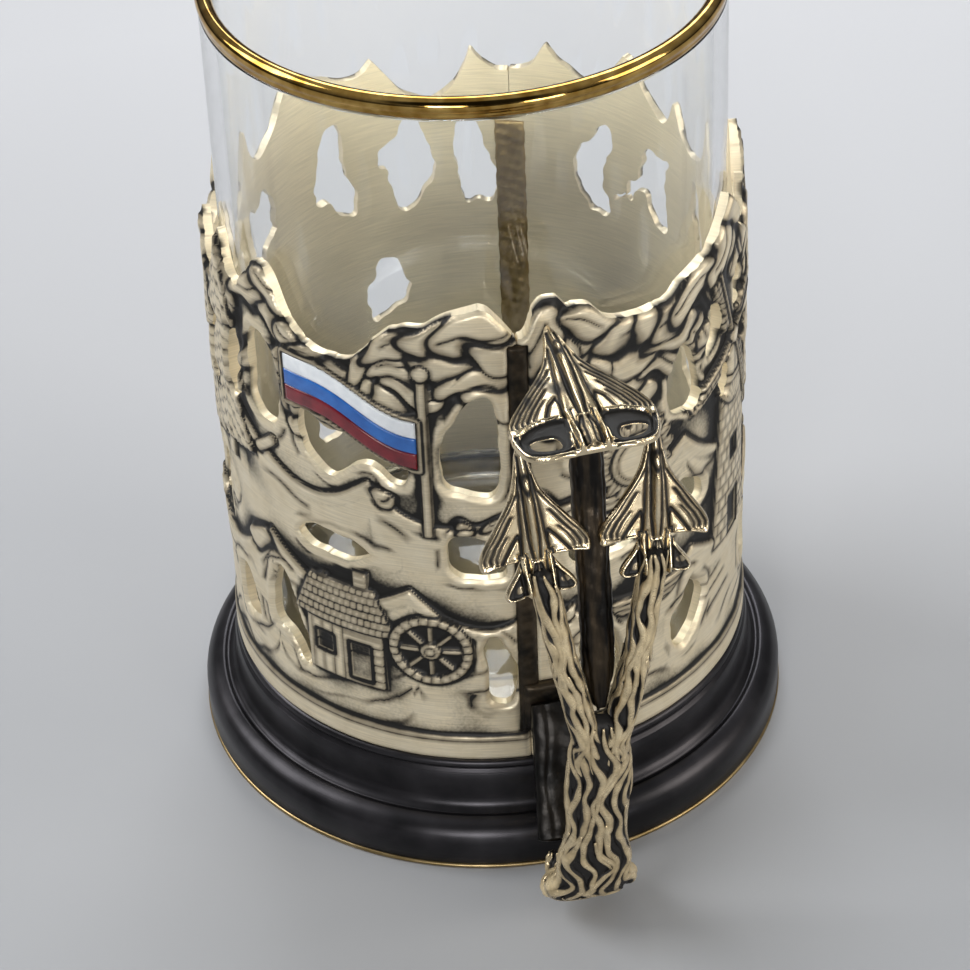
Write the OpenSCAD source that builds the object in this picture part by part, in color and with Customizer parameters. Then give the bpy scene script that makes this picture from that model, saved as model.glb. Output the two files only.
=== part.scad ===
// A tea glass in an openwork cast-bronze holder.
// The holder is two relief half shells soldered along two seams, on a blackened spun base.
// A cast ear handle carries three small aircraft on a forked column of smoke.
// Millimetres, Z up, origin on the table under the glass axis, handle towards +X.

/* [Glass] */
// Outside diameter of the glass wall
glass_d = 66.6; // [62:0.2:70]
// Wall thickness of the glass
glass_wall = 1.9; // [1.5:0.1:2.4]
// Height of the glass, heel to rim
glass_h = 103.5; // [98:0.5:112]
// Thickness of the glass bottom
glass_floor = 5; // [3.5:0.5:7]
// Radius of the outside corner at the heel
glass_heel = 3; // [2:0.5:4]
// Radius of the inside corner at the bottom
glass_hollow = 2; // [1:0.5:3]
// Depth of the round push-up under the glass
glass_punt = 1; // [0.5:0.1:1.5]
// Thickness of the rolled bead at the rim
rim_bead = 2.2; // [2:0.1:2.6]
// Height of the gilded band
gilt_h = 2.5; // [2.4:0.1:4]
// Thickness of the gilding
gilt_t = 0.12; // [0.1:0.02:0.2]

/* [Base] */
// Diameter of the foot
base_d = 82.5; // [80:0.5:90]
// Height of the base up to the sleeve
base_h = 14.8; // [13:0.1:16]
// Height of the rounded lip at the foot
lip_h = 3.4; // [2.6:0.1:3.8]
// Radial depth of the rounding over the lip
lip_round = 3.2; // [2.4:0.1:3.6]
// Height of the bead that the sleeve stands on
step_h = 1.7; // [1.2:0.1:2.2]
// Wall thickness of the spun base
base_wall = 1.2; // [1:0.1:1.5]
// Thickness of the disc that the glass stands on
seat_t = 1.2; // [1:0.1:1.5]
// How far the seat disc lies below the top of the base
seat_drop = 2.8; // [2.4:0.1:3.4]
// Thickness of the brass plate that closes the bottom
plate_t = 0.7; // [0.5:0.1:1]
// How far the plate's edge shows past the foot
plate_lip = 0.15; // [0.1:0.05:0.3]

/* [Sleeve] */
// Gap between the glass and the sleeve, on the radius
sleeve_gap = 0.8; // [0.5:0.1:1]
// Thickness of the sleeve behind the relief
sleeve_wall = 1.3; // [1.1:0.1:1.6]
// Full height of the sleeve, with its highest peak
sleeve_h = 75.2; // [70:0.2:82]
// Height of the plain band at the foot of the sleeve
foot_band_h = 4.2; // [3.4:0.1:5]
// Height of the full relief over the wall
relief_h = 1; // [0.7:0.05:1.2]
// Gap at each soldered seam
seam_gap = 0.1; // [0.06:0.02:0.2]
// Angle of the front seam from the handle
front_turn = -5.5; // [-8:0.5:0]
// Angle of the rear seam from the handle
rear_turn = 157; // [150:1:180]
// Width of the bar that covers the front seam
rib_w = 2.6; // [2:0.1:3.4]
// Width of the strip soldered inside the rear seam
strip_w = 4.6; // [3.6:0.2:5.6]
// Thickness of the strip inside the rear seam
strip_t = 0.35; // [0.25:0.05:0.4]

/* [Flag] */
// Height of one enamel stripe
stripe_h = 2.4; // [2.2:0.1:2.8]
// Length of the flag round the sleeve
flag_l = 18.6; // [16:0.2:20]
// Height of the wave in the flag
flag_wave = 0.9; // [0.4:0.1:1.2]
// Depth of the enamel
enamel_t = 0.7; // [0.5:0.05:0.8]
// Gap round each enamel stripe
enamel_gap = 0.06; // [0.04:0.02:0.1]

/* [Handle] */
// How far the handle stands out past the foot
handle_past = 20.2; // [17:0.2:26]
// Height of the handle's top over the table
handle_top = 86.9; // [81:0.1:92]
// Width of the smoke column
column_w = 8.6; // [7:0.2:10]
// Thickness of the smoke column
column_t = 5; // [4:0.2:6]
// Width of the knuckle at the foot of the column
knuckle_w = 12.6; // [10:0.2:13.6]
// Width of one side trail
trail_w = 3.6; // [3:0.2:4.6]
// Width of the dark middle trail
spine_w = 4.4; // [3.6:0.2:5.2]
// Thickness of the dark middle trail
spine_t = 3; // [2.4:0.2:3.6]
// Width of the lower arm where it meets the sleeve
arm_w = 7.2; // [6:0.2:8.6]
// Thickness of the lower arm
arm_t = 3; // [2.4:0.2:3.6]

/* [Aircraft] */
// How far the front aircraft's tail stops short of the handle's outside
lead_tail = 2.7; // [1.6:0.1:4]
// Wing span of the front aircraft
lead_span = 18.2; // [15:0.2:19]
// Length of each side aircraft
wing_l = 20.2; // [18:0.2:22]
// Wing span of each side aircraft
wing_span = 13.8; // [11:0.2:14.2]
// Thickness of a wing
wing_t = 1; // [0.8:0.1:1.2]
// Thickness of a body
body_t = 3; // [2.4:0.1:3.4]

/* [Hidden] */
bronze = "#b59a6a";
black_brass = "#35332f";
round_fn = 120;
overrun = 1;

glass_r = glass_d / 2;
glass_in = glass_r - glass_wall;
seat_z = base_h - seat_drop;
rim_z = seat_z + glass_h;
bead_r = glass_in + rim_bead / 2;
foot_r = base_d / 2;
sleeve_in = glass_r + sleeve_gap;
sleeve_out = sleeve_in + sleeve_wall;
relief_out = sleeve_out + relief_h;
seat_r = sleeve_in;
sleeve_foot = base_h;
half_turn = 180;
full_turn = 360;

// Height over the table of a share of the sleeve's height
function level(share) = sleeve_foot + share * sleeve_h;

// Everything over these lines is cut from the top edge, valley by valley: angle and height share
left_valley_shares = [
    [[-13, 0.962], [-11, 0.955], [-8, 0.925], [-5.5, 0.9], [-3, 0.92], [0, 0.97]],
    [[-64, 0.97], [-60, 0.94], [-56, 0.875], [-51, 0.84], [-46, 0.832], [-40, 0.85], [-35, 0.885], [-30, 0.92],
        [-24, 0.935], [-18, 0.95], [-13, 0.962]],
    [[-80, 0.97], [-77, 0.89], [-72, 0.88], [-68, 0.93], [-64, 0.97]],
    [[-97, 0.93], [-93, 0.86], [-89, 0.83], [-85, 0.87], [-80, 0.97]],
    [[-121, 0.96], [-117, 0.88], [-110, 0.84], [-103, 0.86], [-97, 0.93]],
    [[-145, 0.98], [-139, 0.92], [-132, 0.87], [-125, 0.89], [-121, 0.96]],
    [[-170, 0.93], [-166, 0.91], [-159, 0.92], [-152, 0.945], [-145, 0.98]],
    [[-194, 0.93], [-190, 0.86], [-184, 0.83], [-178, 0.85], [-170, 0.93]],
    [[-207, 0.93], [-203, 0.89], [-199, 0.89], [-194, 0.93]]];
right_valley_shares = [
    [[-11, 0.96], [-8, 0.92], [-5.5, 0.9], [-3.5, 0.91], [-1, 0.966], [3, 0.97]],
    [[3, 0.97], [6, 0.945], [10, 0.935], [14, 0.9], [20, 0.885], [27, 0.882], [35, 0.9], [44, 0.915],
        [49, 0.94], [54, 0.98]],
    [[54, 0.98], [59, 0.93], [63, 0.87], [68, 0.87], [73, 0.94]],
    [[73, 0.94], [76, 0.88], [79, 0.88], [84, 0.99]],
    [[84, 0.99], [88, 0.9], [95, 0.86], [102, 0.87], [107, 0.93]],
    [[107, 0.93], [111, 0.875], [116, 0.89], [122, 0.94], [127, 0.965]],
    [[127, 0.965], [132, 0.91], [138, 0.885], [144, 0.91], [148, 0.945]],
    [[148, 0.945], [152, 0.9], [157, 0.89], [162, 0.91]]];
valley_reach_share = 0.5;
valley_rise_share = 0.3;

// Ridge lines of the far and near hills, cut the same way
left_far_shares = [
    [[-38, 0.6], [-30, 0.54], [-20, 0.52], [-9, 0.54], [2, 0.6]],
    [[-74, 0.62], [-66, 0.58], [-56, 0.545], [-47, 0.55], [-38, 0.6]],
    [[-108, 0.6], [-100, 0.54], [-91, 0.52], [-82, 0.55], [-74, 0.62]],
    [[-143, 0.61], [-135, 0.57], [-125, 0.55], [-116, 0.56], [-108, 0.6]],
    [[-176, 0.6], [-168, 0.55], [-160, 0.54], [-152, 0.57], [-143, 0.61]],
    [[-208, 0.56], [-200, 0.53], [-192, 0.53], [-184, 0.55], [-176, 0.6]]];
left_near_shares = [
    [[-30, 0.38], [-22, 0.32], [-13, 0.3], [-5, 0.33], [2, 0.39]],
    [[-66, 0.4], [-58, 0.36], [-48, 0.33], [-39, 0.34], [-30, 0.38]],
    [[-100, 0.36], [-92, 0.31], [-83, 0.3], [-74, 0.34], [-66, 0.4]],
    [[-138, 0.39], [-128, 0.35], [-118, 0.31], [-108, 0.31], [-100, 0.36]],
    [[-172, 0.36], [-163, 0.31], [-155, 0.31], [-147, 0.34], [-138, 0.39]],
    [[-208, 0.38], [-199, 0.33], [-190, 0.3], [-181, 0.31], [-172, 0.36]]];
right_far_shares = [
    [[-9, 0.61], [0, 0.55], [10, 0.53], [22, 0.54], [34, 0.59]],
    [[34, 0.59], [42, 0.53], [53, 0.5], [63, 0.53], [71, 0.6]],
    [[71, 0.6], [80, 0.56], [90, 0.54], [100, 0.56], [108, 0.61]],
    [[108, 0.61], [116, 0.56], [126, 0.53], [136, 0.54], [145, 0.59]],
    [[145, 0.59], [150, 0.56], [156, 0.54], [162, 0.54]]];
right_near_shares = [
    [[-9, 0.4], [2, 0.33], [13, 0.29], [25, 0.29], [36, 0.34]],
    [[36, 0.34], [44, 0.31], [54, 0.31], [64, 0.34], [72, 0.4]],
    [[72, 0.4], [82, 0.35], [92, 0.32], [102, 0.32], [110, 0.36]],
    [[110, 0.36], [120, 0.31], [130, 0.29], [140, 0.31], [149, 0.37]],
    [[149, 0.37], [153, 0.34], [158, 0.32], [163, 0.32]]];
hill_top_share = 0.66;

// Openings: outlines of angle and height share, seen from outside
left_window_shares = [
    [[-22, 0.62], [-21.5, 0.71], [-17, 0.77], [-12, 0.79], [-9.5, 0.72], [-10, 0.64], [-13, 0.59], [-18, 0.58]],
    [[-53, 0.61], [-45, 0.6], [-37, 0.63], [-30, 0.6], [-29.5, 0.66], [-37, 0.665], [-45, 0.69], [-53, 0.71]],
    [[-71, 0.66], [-62, 0.64], [-60, 0.72], [-61, 0.8], [-65, 0.83], [-70, 0.76]],
    [[-58, 0.43], [-51, 0.46], [-42, 0.455], [-36, 0.43], [-42, 0.415], [-50, 0.41]],
    [[-68, 0.19], [-61, 0.16], [-57.5, 0.14], [-58, 0.24], [-62, 0.32], [-66, 0.31]],
    [[-22, 0.43], [-17, 0.41], [-9.5, 0.41], [-9.5, 0.47], [-15, 0.49], [-21, 0.49]],
    [[-15, 0.14], [-9.5, 0.13], [-9.5, 0.24], [-12, 0.28], [-15, 0.24]],
    [[-88, 0.62], [-85, 0.66], [-84.5, 0.76], [-87, 0.79], [-89, 0.72]],
    [[-77.5, 0.66], [-75, 0.66], [-74, 0.76], [-77, 0.82]],
    [[-97, 0.34], [-89, 0.33], [-86, 0.4], [-88, 0.47], [-95, 0.48]],
    [[-83, 0.14], [-76, 0.14], [-75, 0.2], [-79, 0.26], [-84, 0.21]],
    [[-113, 0.63], [-107, 0.65], [-104, 0.71], [-106, 0.78], [-111, 0.79], [-114, 0.71]],
    [[-135, 0.66], [-129, 0.68], [-123, 0.66], [-121, 0.74], [-125, 0.79], [-133, 0.78]],
    [[-160, 0.64], [-154, 0.65], [-150, 0.7], [-152, 0.79], [-158, 0.82], [-161, 0.74]],
    [[-182, 0.62], [-175, 0.63], [-171, 0.68], [-173, 0.76], [-180, 0.79], [-184, 0.7]],
    [[-198, 0.62], [-192, 0.61], [-189, 0.68], [-190, 0.74], [-195, 0.77], [-199, 0.72]],
    [[-130, 0.21], [-122, 0.17], [-118, 0.24], [-120, 0.3], [-125, 0.32], [-130, 0.29]],
    [[-113, 0.4], [-107, 0.38], [-103, 0.43], [-105, 0.49], [-112, 0.49]],
    [[-156, 0.16], [-147, 0.15], [-143, 0.22], [-148, 0.28], [-155, 0.26]],
    [[-176, 0.4], [-168, 0.39], [-164, 0.43], [-167, 0.49], [-175, 0.5]],
    [[-197, 0.17], [-189, 0.16], [-186, 0.22], [-190, 0.27], [-196, 0.26]]];
right_window_shares = [
    [[5.5, 0.64], [8, 0.66], [10.5, 0.72], [12, 0.79], [9, 0.82], [6, 0.8]],
    [[30, 0.64], [35, 0.63], [39, 0.67], [38, 0.74], [33, 0.78], [29.5, 0.72]],
    [[43, 0.71], [46.5, 0.72], [48, 0.76], [46, 0.8], [43.5, 0.78]],
    [[56.5, 0.75], [61, 0.77], [61, 0.82], [57, 0.82]],
    [[47, 0.6], [50, 0.6], [51, 0.64], [48, 0.67], [46, 0.64]],
    [[61, 0.64], [65, 0.62], [67, 0.66], [66, 0.69], [62, 0.69]],
    [[6, 0.41], [14, 0.41], [20, 0.43], [19, 0.48], [12, 0.49], [6, 0.48]],
    [[27, 0.4], [36, 0.41], [41, 0.43], [38, 0.48], [30, 0.47]],
    [[7, 0.13], [14, 0.14], [15, 0.2], [12, 0.26], [7, 0.25]],
    [[31, 0.13], [38, 0.15], [40, 0.21], [36, 0.27], [32, 0.22]],
    [[63, 0.14], [70, 0.14], [72, 0.22], [68, 0.3], [64, 0.24]],
    [[64, 0.41], [69, 0.43], [70, 0.49], [67, 0.52], [64, 0.48]],
    [[78, 0.64], [80.5, 0.68], [80.5, 0.76], [77.5, 0.78], [76.5, 0.7]],
    [[88, 0.62], [93, 0.62], [96, 0.7], [93, 0.79], [90, 0.74]],
    [[111, 0.66], [117, 0.64], [121, 0.69], [120, 0.77], [115, 0.81], [111, 0.75]],
    [[130, 0.62], [136, 0.62], [139, 0.69], [137, 0.76], [132, 0.79], [129, 0.71]],
    [[92, 0.38], [100, 0.37], [104, 0.42], [101, 0.48], [94, 0.48]],
    [[121, 0.17], [129, 0.15], [134, 0.21], [131, 0.26], [124, 0.26]]];

// Raised pieces of the landscape: kind, angle, height share of the lower end, size share, raise share
left_motif_shares = [
    ["fir", -80, 0.5, 0.45, 0.95], ["fir", -92, 0.48, 0.37, 0.8], ["fir", -101, 0.5, 0.28, 0.7],
    ["pole", -25, 0.5, 0.34, 0.75], ["mill", -46, 0.14, 0.22, 0.9], ["wheel", -26, 0.25, 0.15, 0.98],
    ["crown", -147, 0.5, 0.19, 0.8], ["crown", -166, 0.4, 0.15, 0.7], ["fir", -187, 0.42, 0.36, 0.8], ["crown", -120, 0.5, 0.14, 0.85],
    ["puff", -28.5, 0.84, 0.065, 0.92], ["puff", -17, 0.87, 0.06, 0.78]];
right_motif_shares = [
    ["tower", 54, 0.28, 0.4, 0.78], ["sails", 54, 0.7, 0.18, 0.95], ["fir", 84, 0.48, 0.47, 0.92],
    ["fir", 73, 0.46, 0.42, 0.72], ["sun", 20, 0.6, 0.085, 0.75], ["crown", 103, 0.54, 0.15, 0.8],
    ["crown", 145, 0.5, 0.15, 0.85], ["puff", 1, 0.92, 0.05, 0.9], ["boat", 22, 0.27, 0.17, 0.9],
    ["puff", 26, 0.8, 0.05, 0.92]];

// Handle line from under the front aircraft to the knuckle: share of the reach past the foot, height share of the top
handle_line_shares = [
    [0.702, 0.951], [0.837, 0.927], [0.921, 0.874], [0.964, 0.787], [1, 0.645], [1, 0.515],
    [0.925, 0.389], [0.837, 0.279], [0.734, 0.169], [0.66, 0.092], [0.522, 0.056], [0.375, 0.056], [0.268, 0.08]];
last_station = len(handle_line_shares) - 1;
// Places along the handle line, as shares of it: where the trails start, where they are one and where the knuckle swells
trail_share = 0.275;
fork_share = 0.446;
merge_share = 0.475;
swell_share = 0.817;
swell_reach_share = 0.183;
// Lower arm from the front bar to the knuckle: share of the way out, height share of the top
arm_line_shares = [[0, 0.286], [0.214, 0.253], [0.476, 0.189], [0.738, 0.127], [0.952, 0.092]];
arm_flare_share = 1.55;

handle_out = foot_r + handle_past;
bar_face = relief_out + strip_t;
handle_line = [for (p = handle_line_shares) [foot_r + p[0] * (handle_past - column_t / 2), p[1] * handle_top]];
knuckle_r = handle_line[last_station][0];
arm_line = [for (p = arm_line_shares) [bar_face + p[0] * (knuckle_r - bar_face), p[1] * handle_top]];
// Catmull-Rom curve through a list of points, at station t
function spline(points, t) =
    let (last = len(points) - 1, i = min(floor(t), last - 1), u = t - i,
        a = points[max(i - 1, 0)], b = points[i], c = points[i + 1], d = points[min(i + 2, last)])
    (2 * b + (c - a) * u + (2 * a - 5 * b + 4 * c - d) * u * u + (3 * b - a - 3 * c + d) * u * u * u) / 2;
function path_point(points, t) = spline(points, t);
slope_share = 0.02;
function path_dir(points, t) =
    let (last = len(points) - 1, d = spline(points, min(t + slope_share, last)) - spline(points, max(t - slope_share, 0)))
    d / norm(d);

// One ring of a loft: centre in the handle's plane, sideways shift, half sizes and a soft square form
function ring(centre, dir, side, half_w, half_t, sides) = [for (k = [0 : sides - 1])
    let (a = k * full_turn / sides, c = cos(a), s = sin(a),
        w = half_w * sign(c) * pow(abs(c), 0.75), t = half_t * sign(s) * pow(abs(s), 0.75))
    [centre[0] + dir[1] * t, side + w, centre[1] - dir[0] * t]];

// Closed solid through a list of equal rings
module loft(rings) {
    sides = len(rings[0]);
    count = len(rings);
    points = [for (r = rings) for (p = r) p];
    walls = [for (i = [0 : count - 2]) for (k = [0 : sides - 1])
        let (a = i * sides + k, b = i * sides + (k + 1) % sides)
        each [[a, b, a + sides], [b, b + sides, a + sides]]];
    first_cap = [for (k = [1 : sides - 2]) [0, k + 1, k]];
    last_at = (count - 1) * sides;
    last_cap = [for (k = [1 : sides - 2]) [last_at, last_at + k, last_at + k + 1]];
    polyhedron(points, concat(walls, first_cap, last_cap));
}

// Straight cutter or slab standing out along the radius at an angle, from a flat outline
module radial(turn, from_r, to_r) {
    rotate([0, 0, turn]) translate([from_r, 0, 0]) rotate([90, 0, 90])
        linear_extrude(to_r - from_r) children();
}

// Flat place, seen from outside at one angle, of an angle and height share
function flat_place(turn, at) = [sleeve_out * sin(at[0] - turn), level(at[1])];

module glass_tumbler() {
    color("#dfe6e8", 0.35) rotate_extrude($fn = round_fn) difference() {
        glass_outline(0);
        translate([-overrun, rim_z - gilt_h]) square([glass_r * 2, gilt_h + overrun]);
    }
    color("#dfe6e8", 0.35) rotate_extrude($fn = round_fn) intersection() {
        glass_outline(gilt_t);
        translate([glass_in, rim_z - gilt_h - gilt_t]) square([glass_wall * 2, gilt_h + overrun]);
    }
}

// Half section of the glass, shrunk by the gilding's thickness where that covers it
module glass_outline(skin) {
    difference() {
        union() {
            translate([0, seat_z + glass_heel]) square([glass_r - skin, glass_h - glass_heel - rim_bead / 2]);
            translate([0, seat_z]) square([glass_r - glass_heel, glass_heel * 2]);
            translate([glass_r - glass_heel, seat_z + glass_heel]) circle(glass_heel, $fn = round_fn);
            translate([bead_r, rim_z - rim_bead / 2]) circle(rim_bead / 2 - skin, $fn = round_fn);
        }
        translate([-overrun, seat_z + glass_floor + glass_hollow])
            square([glass_in + skin + overrun, glass_h]);
        translate([-overrun, seat_z + glass_floor]) square([glass_in - glass_hollow + overrun, glass_h]);
        translate([glass_in - glass_hollow, seat_z + glass_floor + glass_hollow])
            circle(glass_hollow, $fn = round_fn);
        translate([-overrun, seat_z - overrun]) square([glass_in - glass_heel + overrun, glass_punt + overrun]);
        translate([bead_r - rim_bead, rim_z - rim_bead / 2]) square([rim_bead, rim_bead]);
    }
    translate([bead_r, rim_z - rim_bead / 2]) circle(rim_bead / 2 - skin, $fn = round_fn);
}

module rim_gilding() {
    color("#e0b23c") rotate_extrude($fn = round_fn) difference() {
        intersection() {
            glass_outline(0);
            translate([glass_in - overrun, rim_z - gilt_h]) square([glass_wall * 3, gilt_h + overrun]);
        }
        glass_outline(gilt_t);
    }
}

// Half section of the outside of the spun base, or of its hollow with a wall's skin
base_top_r = relief_out - relief_h / 4;
ledge_w = 3;
module base_outline(skin) {
    lip_top = plate_t + lip_h;
    cove_r = base_h - step_h - lip_top;
    ovolo_r = foot_r - lip_round;
    difference() {
        union() {
            translate([0, plate_t - (skin > 0 ? overrun : 0)])
                square([foot_r - skin, lip_h + (skin > 0 ? overrun : 0)]);
            translate([0, lip_top]) square([ovolo_r, lip_round - skin]);
            translate([ovolo_r, lip_top]) circle(lip_round - skin, $fn = round_fn);
            translate([0, lip_top]) square([base_top_r - skin, base_h - lip_top - skin]);
            translate([0, lip_top]) polygon([[0, 0], [ovolo_r - skin, 0], [ovolo_r - skin, lip_round - skin],
                [base_top_r - skin, base_h - step_h - lip_top - skin], [0, base_h - step_h - lip_top - skin]]);
        }
        translate([base_top_r + cove_r * 0.88, base_h - step_h]) circle(cove_r * 0.88 - step_h / 2 + skin, $fn = round_fn);
    }
}

module base_ring() {
    wall_r = seat_r + base_wall;
    color(black_brass) rotate_extrude($fn = round_fn) difference() {
        base_outline(0);
        intersection() {
            base_outline(base_wall);
            translate([wall_r, -overrun]) square([foot_r, base_h]);
        }
        translate([-overrun, -overrun]) square([seat_r - ledge_w + overrun, base_h * 2]);
        translate([-overrun, -overrun]) square([seat_r + overrun, seat_z - seat_t - base_wall + overrun]);
        translate([-overrun, seat_z - seat_t]) square([seat_r + overrun, base_h]);
    }
}

module seat_disc() {
    color(bronze) rotate_extrude($fn = round_fn) difference() {
        translate([0, seat_z - seat_t]) square([seat_r - seam_gap, seat_t]);
        translate([glass_r / 2, seat_z]) circle(seat_t / 3, $fn = round_fn);
    }
}

module bottom_plate() {
    color("#c69a4a") cylinder(h = plate_t, r = foot_r + plate_lip, $fn = round_fn);
}

// Cuts away everything over a line of places; the line runs on past its two peaks, where the next cut crosses it
module valley(line) {
    last = len(line) - 1;
    middle = (line[0][0] + line[last][0]) / 2;
    start = line[0] + (line[0] - line[1]) * valley_reach_share;
    end = line[last] + (line[last] - line[last - 1]) * valley_reach_share;
    radial(middle, sleeve_in / 2, relief_out + overrun) polygon(concat(
        [flat_place(middle, start)], [for (k = [1 : last - 1]) flat_place(middle, line[k])],
        [flat_place(middle, end), flat_place(middle, end + [0, valley_rise_share]),
            flat_place(middle, start + [0, valley_rise_share])]));
}

module window(outline) {
    turns = [for (p = outline) p[0]];
    middle = (min(turns) + max(turns)) / 2;
    radial(middle, sleeve_in - overrun * 3, relief_out + overrun) polygon([for (p = outline) flat_place(middle, p)]);
}

// Ring between two radii and two heights, over one half shell and short of each seam by half the gap
seam_turn = asin(seam_gap / 2 / sleeve_in);
module half_ring(side, outer, inner, from_z, to_z) {
    from_turn = side < 0 ? rear_turn - full_turn : front_turn;
    to_turn = side < 0 ? front_turn : rear_turn;
    rotate([0, 0, from_turn + seam_turn]) rotate_extrude(angle = to_turn - from_turn - seam_turn * 2, $fn = round_fn)
        translate([inner, from_z]) square([outer - inner, to_z - from_z]);
}

// Fir tree of three skirts on a trunk
module fir(size) {
    for (k = [0 : 2])
        translate([0, size * (0.1 + 0.27 * k)])
            polygon([[-size * (0.2 - 0.045 * k), 0], [0, -size * 0.03], [size * (0.2 - 0.045 * k), 0], [0, size * 0.36]]);
    translate([-size * 0.025, 0]) square([size * 0.05, size * 0.2]);
}

// Round tree crown on a trunk
module crown(size) {
    translate([0, size * 0.62]) circle(size * 0.58, $fn = round_fn);
    translate([-size * 0.09, -size * 0.5]) square([size * 0.18, size]);
}

// Flag pole with a ball on top
module pole(size) {
    translate([-size * 0.022, 0]) square([size * 0.044, size]);
    translate([0, size]) circle(size * 0.045, $fn = round_fn);
}

// Mill house with a pitched roof, a chimney and a door
module mill(size) {
    difference() {
        union() {
            translate([-size * 0.36, 0]) square([size * 0.72, size * 0.6]);
            polygon([[-size * 0.48, size * 0.56], [size * 0.48, size * 0.56], [size * 0.3, size], [-size * 0.3, size]]);
            translate([size * 0.12, size * 0.8]) square([size * 0.13, size * 0.36]);
        }
        translate([-size * 0.26, size * 0.24]) square([size * 0.16, size * 0.18]);
        translate([size * 0.06, size * 0.06]) square([size * 0.18, size * 0.36]);
    }
}

// Water wheel: rim, hub and eight spokes
module wheel(size) {
    difference() {
        circle(size * 0.5, $fn = round_fn);
        circle(size * 0.38, $fn = round_fn);
    }
    circle(size * 0.12, $fn = round_fn);
    for (k = [0 : 3]) rotate(k * 45) square([size * 0.88, size * 0.055], center = true);
}

// Tapered windmill tower with a domed cap
module tower(size) {
    polygon([[-size * 0.2, 0], [size * 0.2, 0], [size * 0.13, size * 0.86], [-size * 0.13, size * 0.86]]);
    translate([0, size * 0.86]) circle(size * 0.145, $fn = round_fn);
}

// Four windmill sails round a hub
module sails(size) {
    for (k = [0 : 3]) rotate(20 + k * 90) {
        translate([0, -size * 0.012]) square([size * 0.95, size * 0.05]);
        translate([size * 0.22, 0]) square([size * 0.7, size * 0.17]);
    }
    circle(size * 0.09, $fn = round_fn);
}

module sun(size) {
    circle(size, $fn = round_fn);
}

module puff(size) {
    circle(size, $fn = round_fn);
}

// Small boat with a mast and one sail
module boat(size) {
    polygon([[-size * 0.42, size * 0.2], [size * 0.46, size * 0.22], [size * 0.3, 0], [-size * 0.3, 0]]);
    polygon([[-size * 0.02, size * 0.26], [size * 0.34, size * 0.28], [0, size * 0.95]]);
    translate([-size * 0.07, size * 0.2]) square([size * 0.045, size * 0.78]);
}

module motif(kind, size) {
    if (kind == "fir") fir(size);
    if (kind == "crown") crown(size);
    if (kind == "pole") pole(size);
    if (kind == "mill") mill(size);
    if (kind == "wheel") wheel(size);
    if (kind == "tower") tower(size);
    if (kind == "sails") sails(size);
    if (kind == "sun") sun(size);
    if (kind == "puff") puff(size);
    if (kind == "boat") boat(size);
}

// A raised slab of the landscape, bounded outside by its own height of relief
module raised(side, shares) {
    intersection() {
        half_ring(side, sleeve_out + shares[4] * relief_h, sleeve_in + sleeve_wall / 2, sleeve_foot + step_h, level(1));
        radial(shares[1], sleeve_in / 2, relief_out + overrun)
            translate([0, level(shares[2])]) motif(shares[0], shares[3] * sleeve_h);
    }
}

// One wave-edged stripe of the flag, counted from the top, grown by a margin
flag_turn = -41.5;
flag_top_share = 0.785;
flag_fall_share = 0.075;
flag_fn = 12;
function flag_line(u, drop) = [(u - 0.5) * flag_l,
    level(flag_top_share - flag_fall_share * (u - 0.5)) + flag_wave * sin(u * full_turn - 40) - drop];
module stripe(first, last, grow) {
    polygon(concat(
        [for (k = [0 : flag_fn]) flag_line(k / flag_fn, first * stripe_h - grow)
            + [grow * (2 * k / flag_fn - 1), 0]],
        [for (k = [flag_fn : -1 : 0]) flag_line(k / flag_fn, last * stripe_h + grow)
            + [grow * (2 * k / flag_fn - 1), 0]]));
}

module flag_slab(first, last, grow, from_r, to_r) {
    intersection() {
        half_ring(-1, to_r, from_r, sleeve_foot, level(1));
        radial(flag_turn, sleeve_in / 2, to_r + overrun) stripe(first, last, grow);
    }
}

flag_frame = 0.7;
flag_out = sleeve_out + relief_h * 0.7;
enamel_in = flag_out - enamel_t;
module enamel(index, paint) {
    color(paint) flag_slab(index, index + 1, -enamel_gap, enamel_in, flag_out);
}

// The bar over the front seam and the pad of the lower arm, seated a little into the wall
pad_top = 27.6;
pad_w = arm_w + 1;
bar_seat = sleeve_out - seam_gap;
bar_low = base_h + foot_band_h + step_h / 4;
pad_low = bar_low + step_h / 2;
bar_top_share = 0.89;
module seam_bar(grow, bar_out, pad_out) {
    difference() {
        union() {
            radial(front_turn, sleeve_in / 2, bar_out) translate([-rib_w / 2 - grow, bar_low - grow])
                square([rib_w + grow * 2, level(bar_top_share) - bar_low + grow * 2]);
            radial(0, sleeve_in / 2, pad_out) translate([-pad_w / 2 - grow, pad_low - grow])
                square([pad_w + grow * 2, pad_top - pad_low + grow * 2]);
        }
        cylinder(h = rim_z, r = bar_seat, $fn = round_fn);
    }
}

// One hill layer of a half shell, cut down to its ridge line
module hill(side, raise, inner, lift, top_share, ridge_shares) {
    difference() {
        half_ring(side, sleeve_out + relief_h * raise, inner, sleeve_foot + lift, level(top_share));
        for (line = ridge_shares) valley(line);
    }
}

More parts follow.
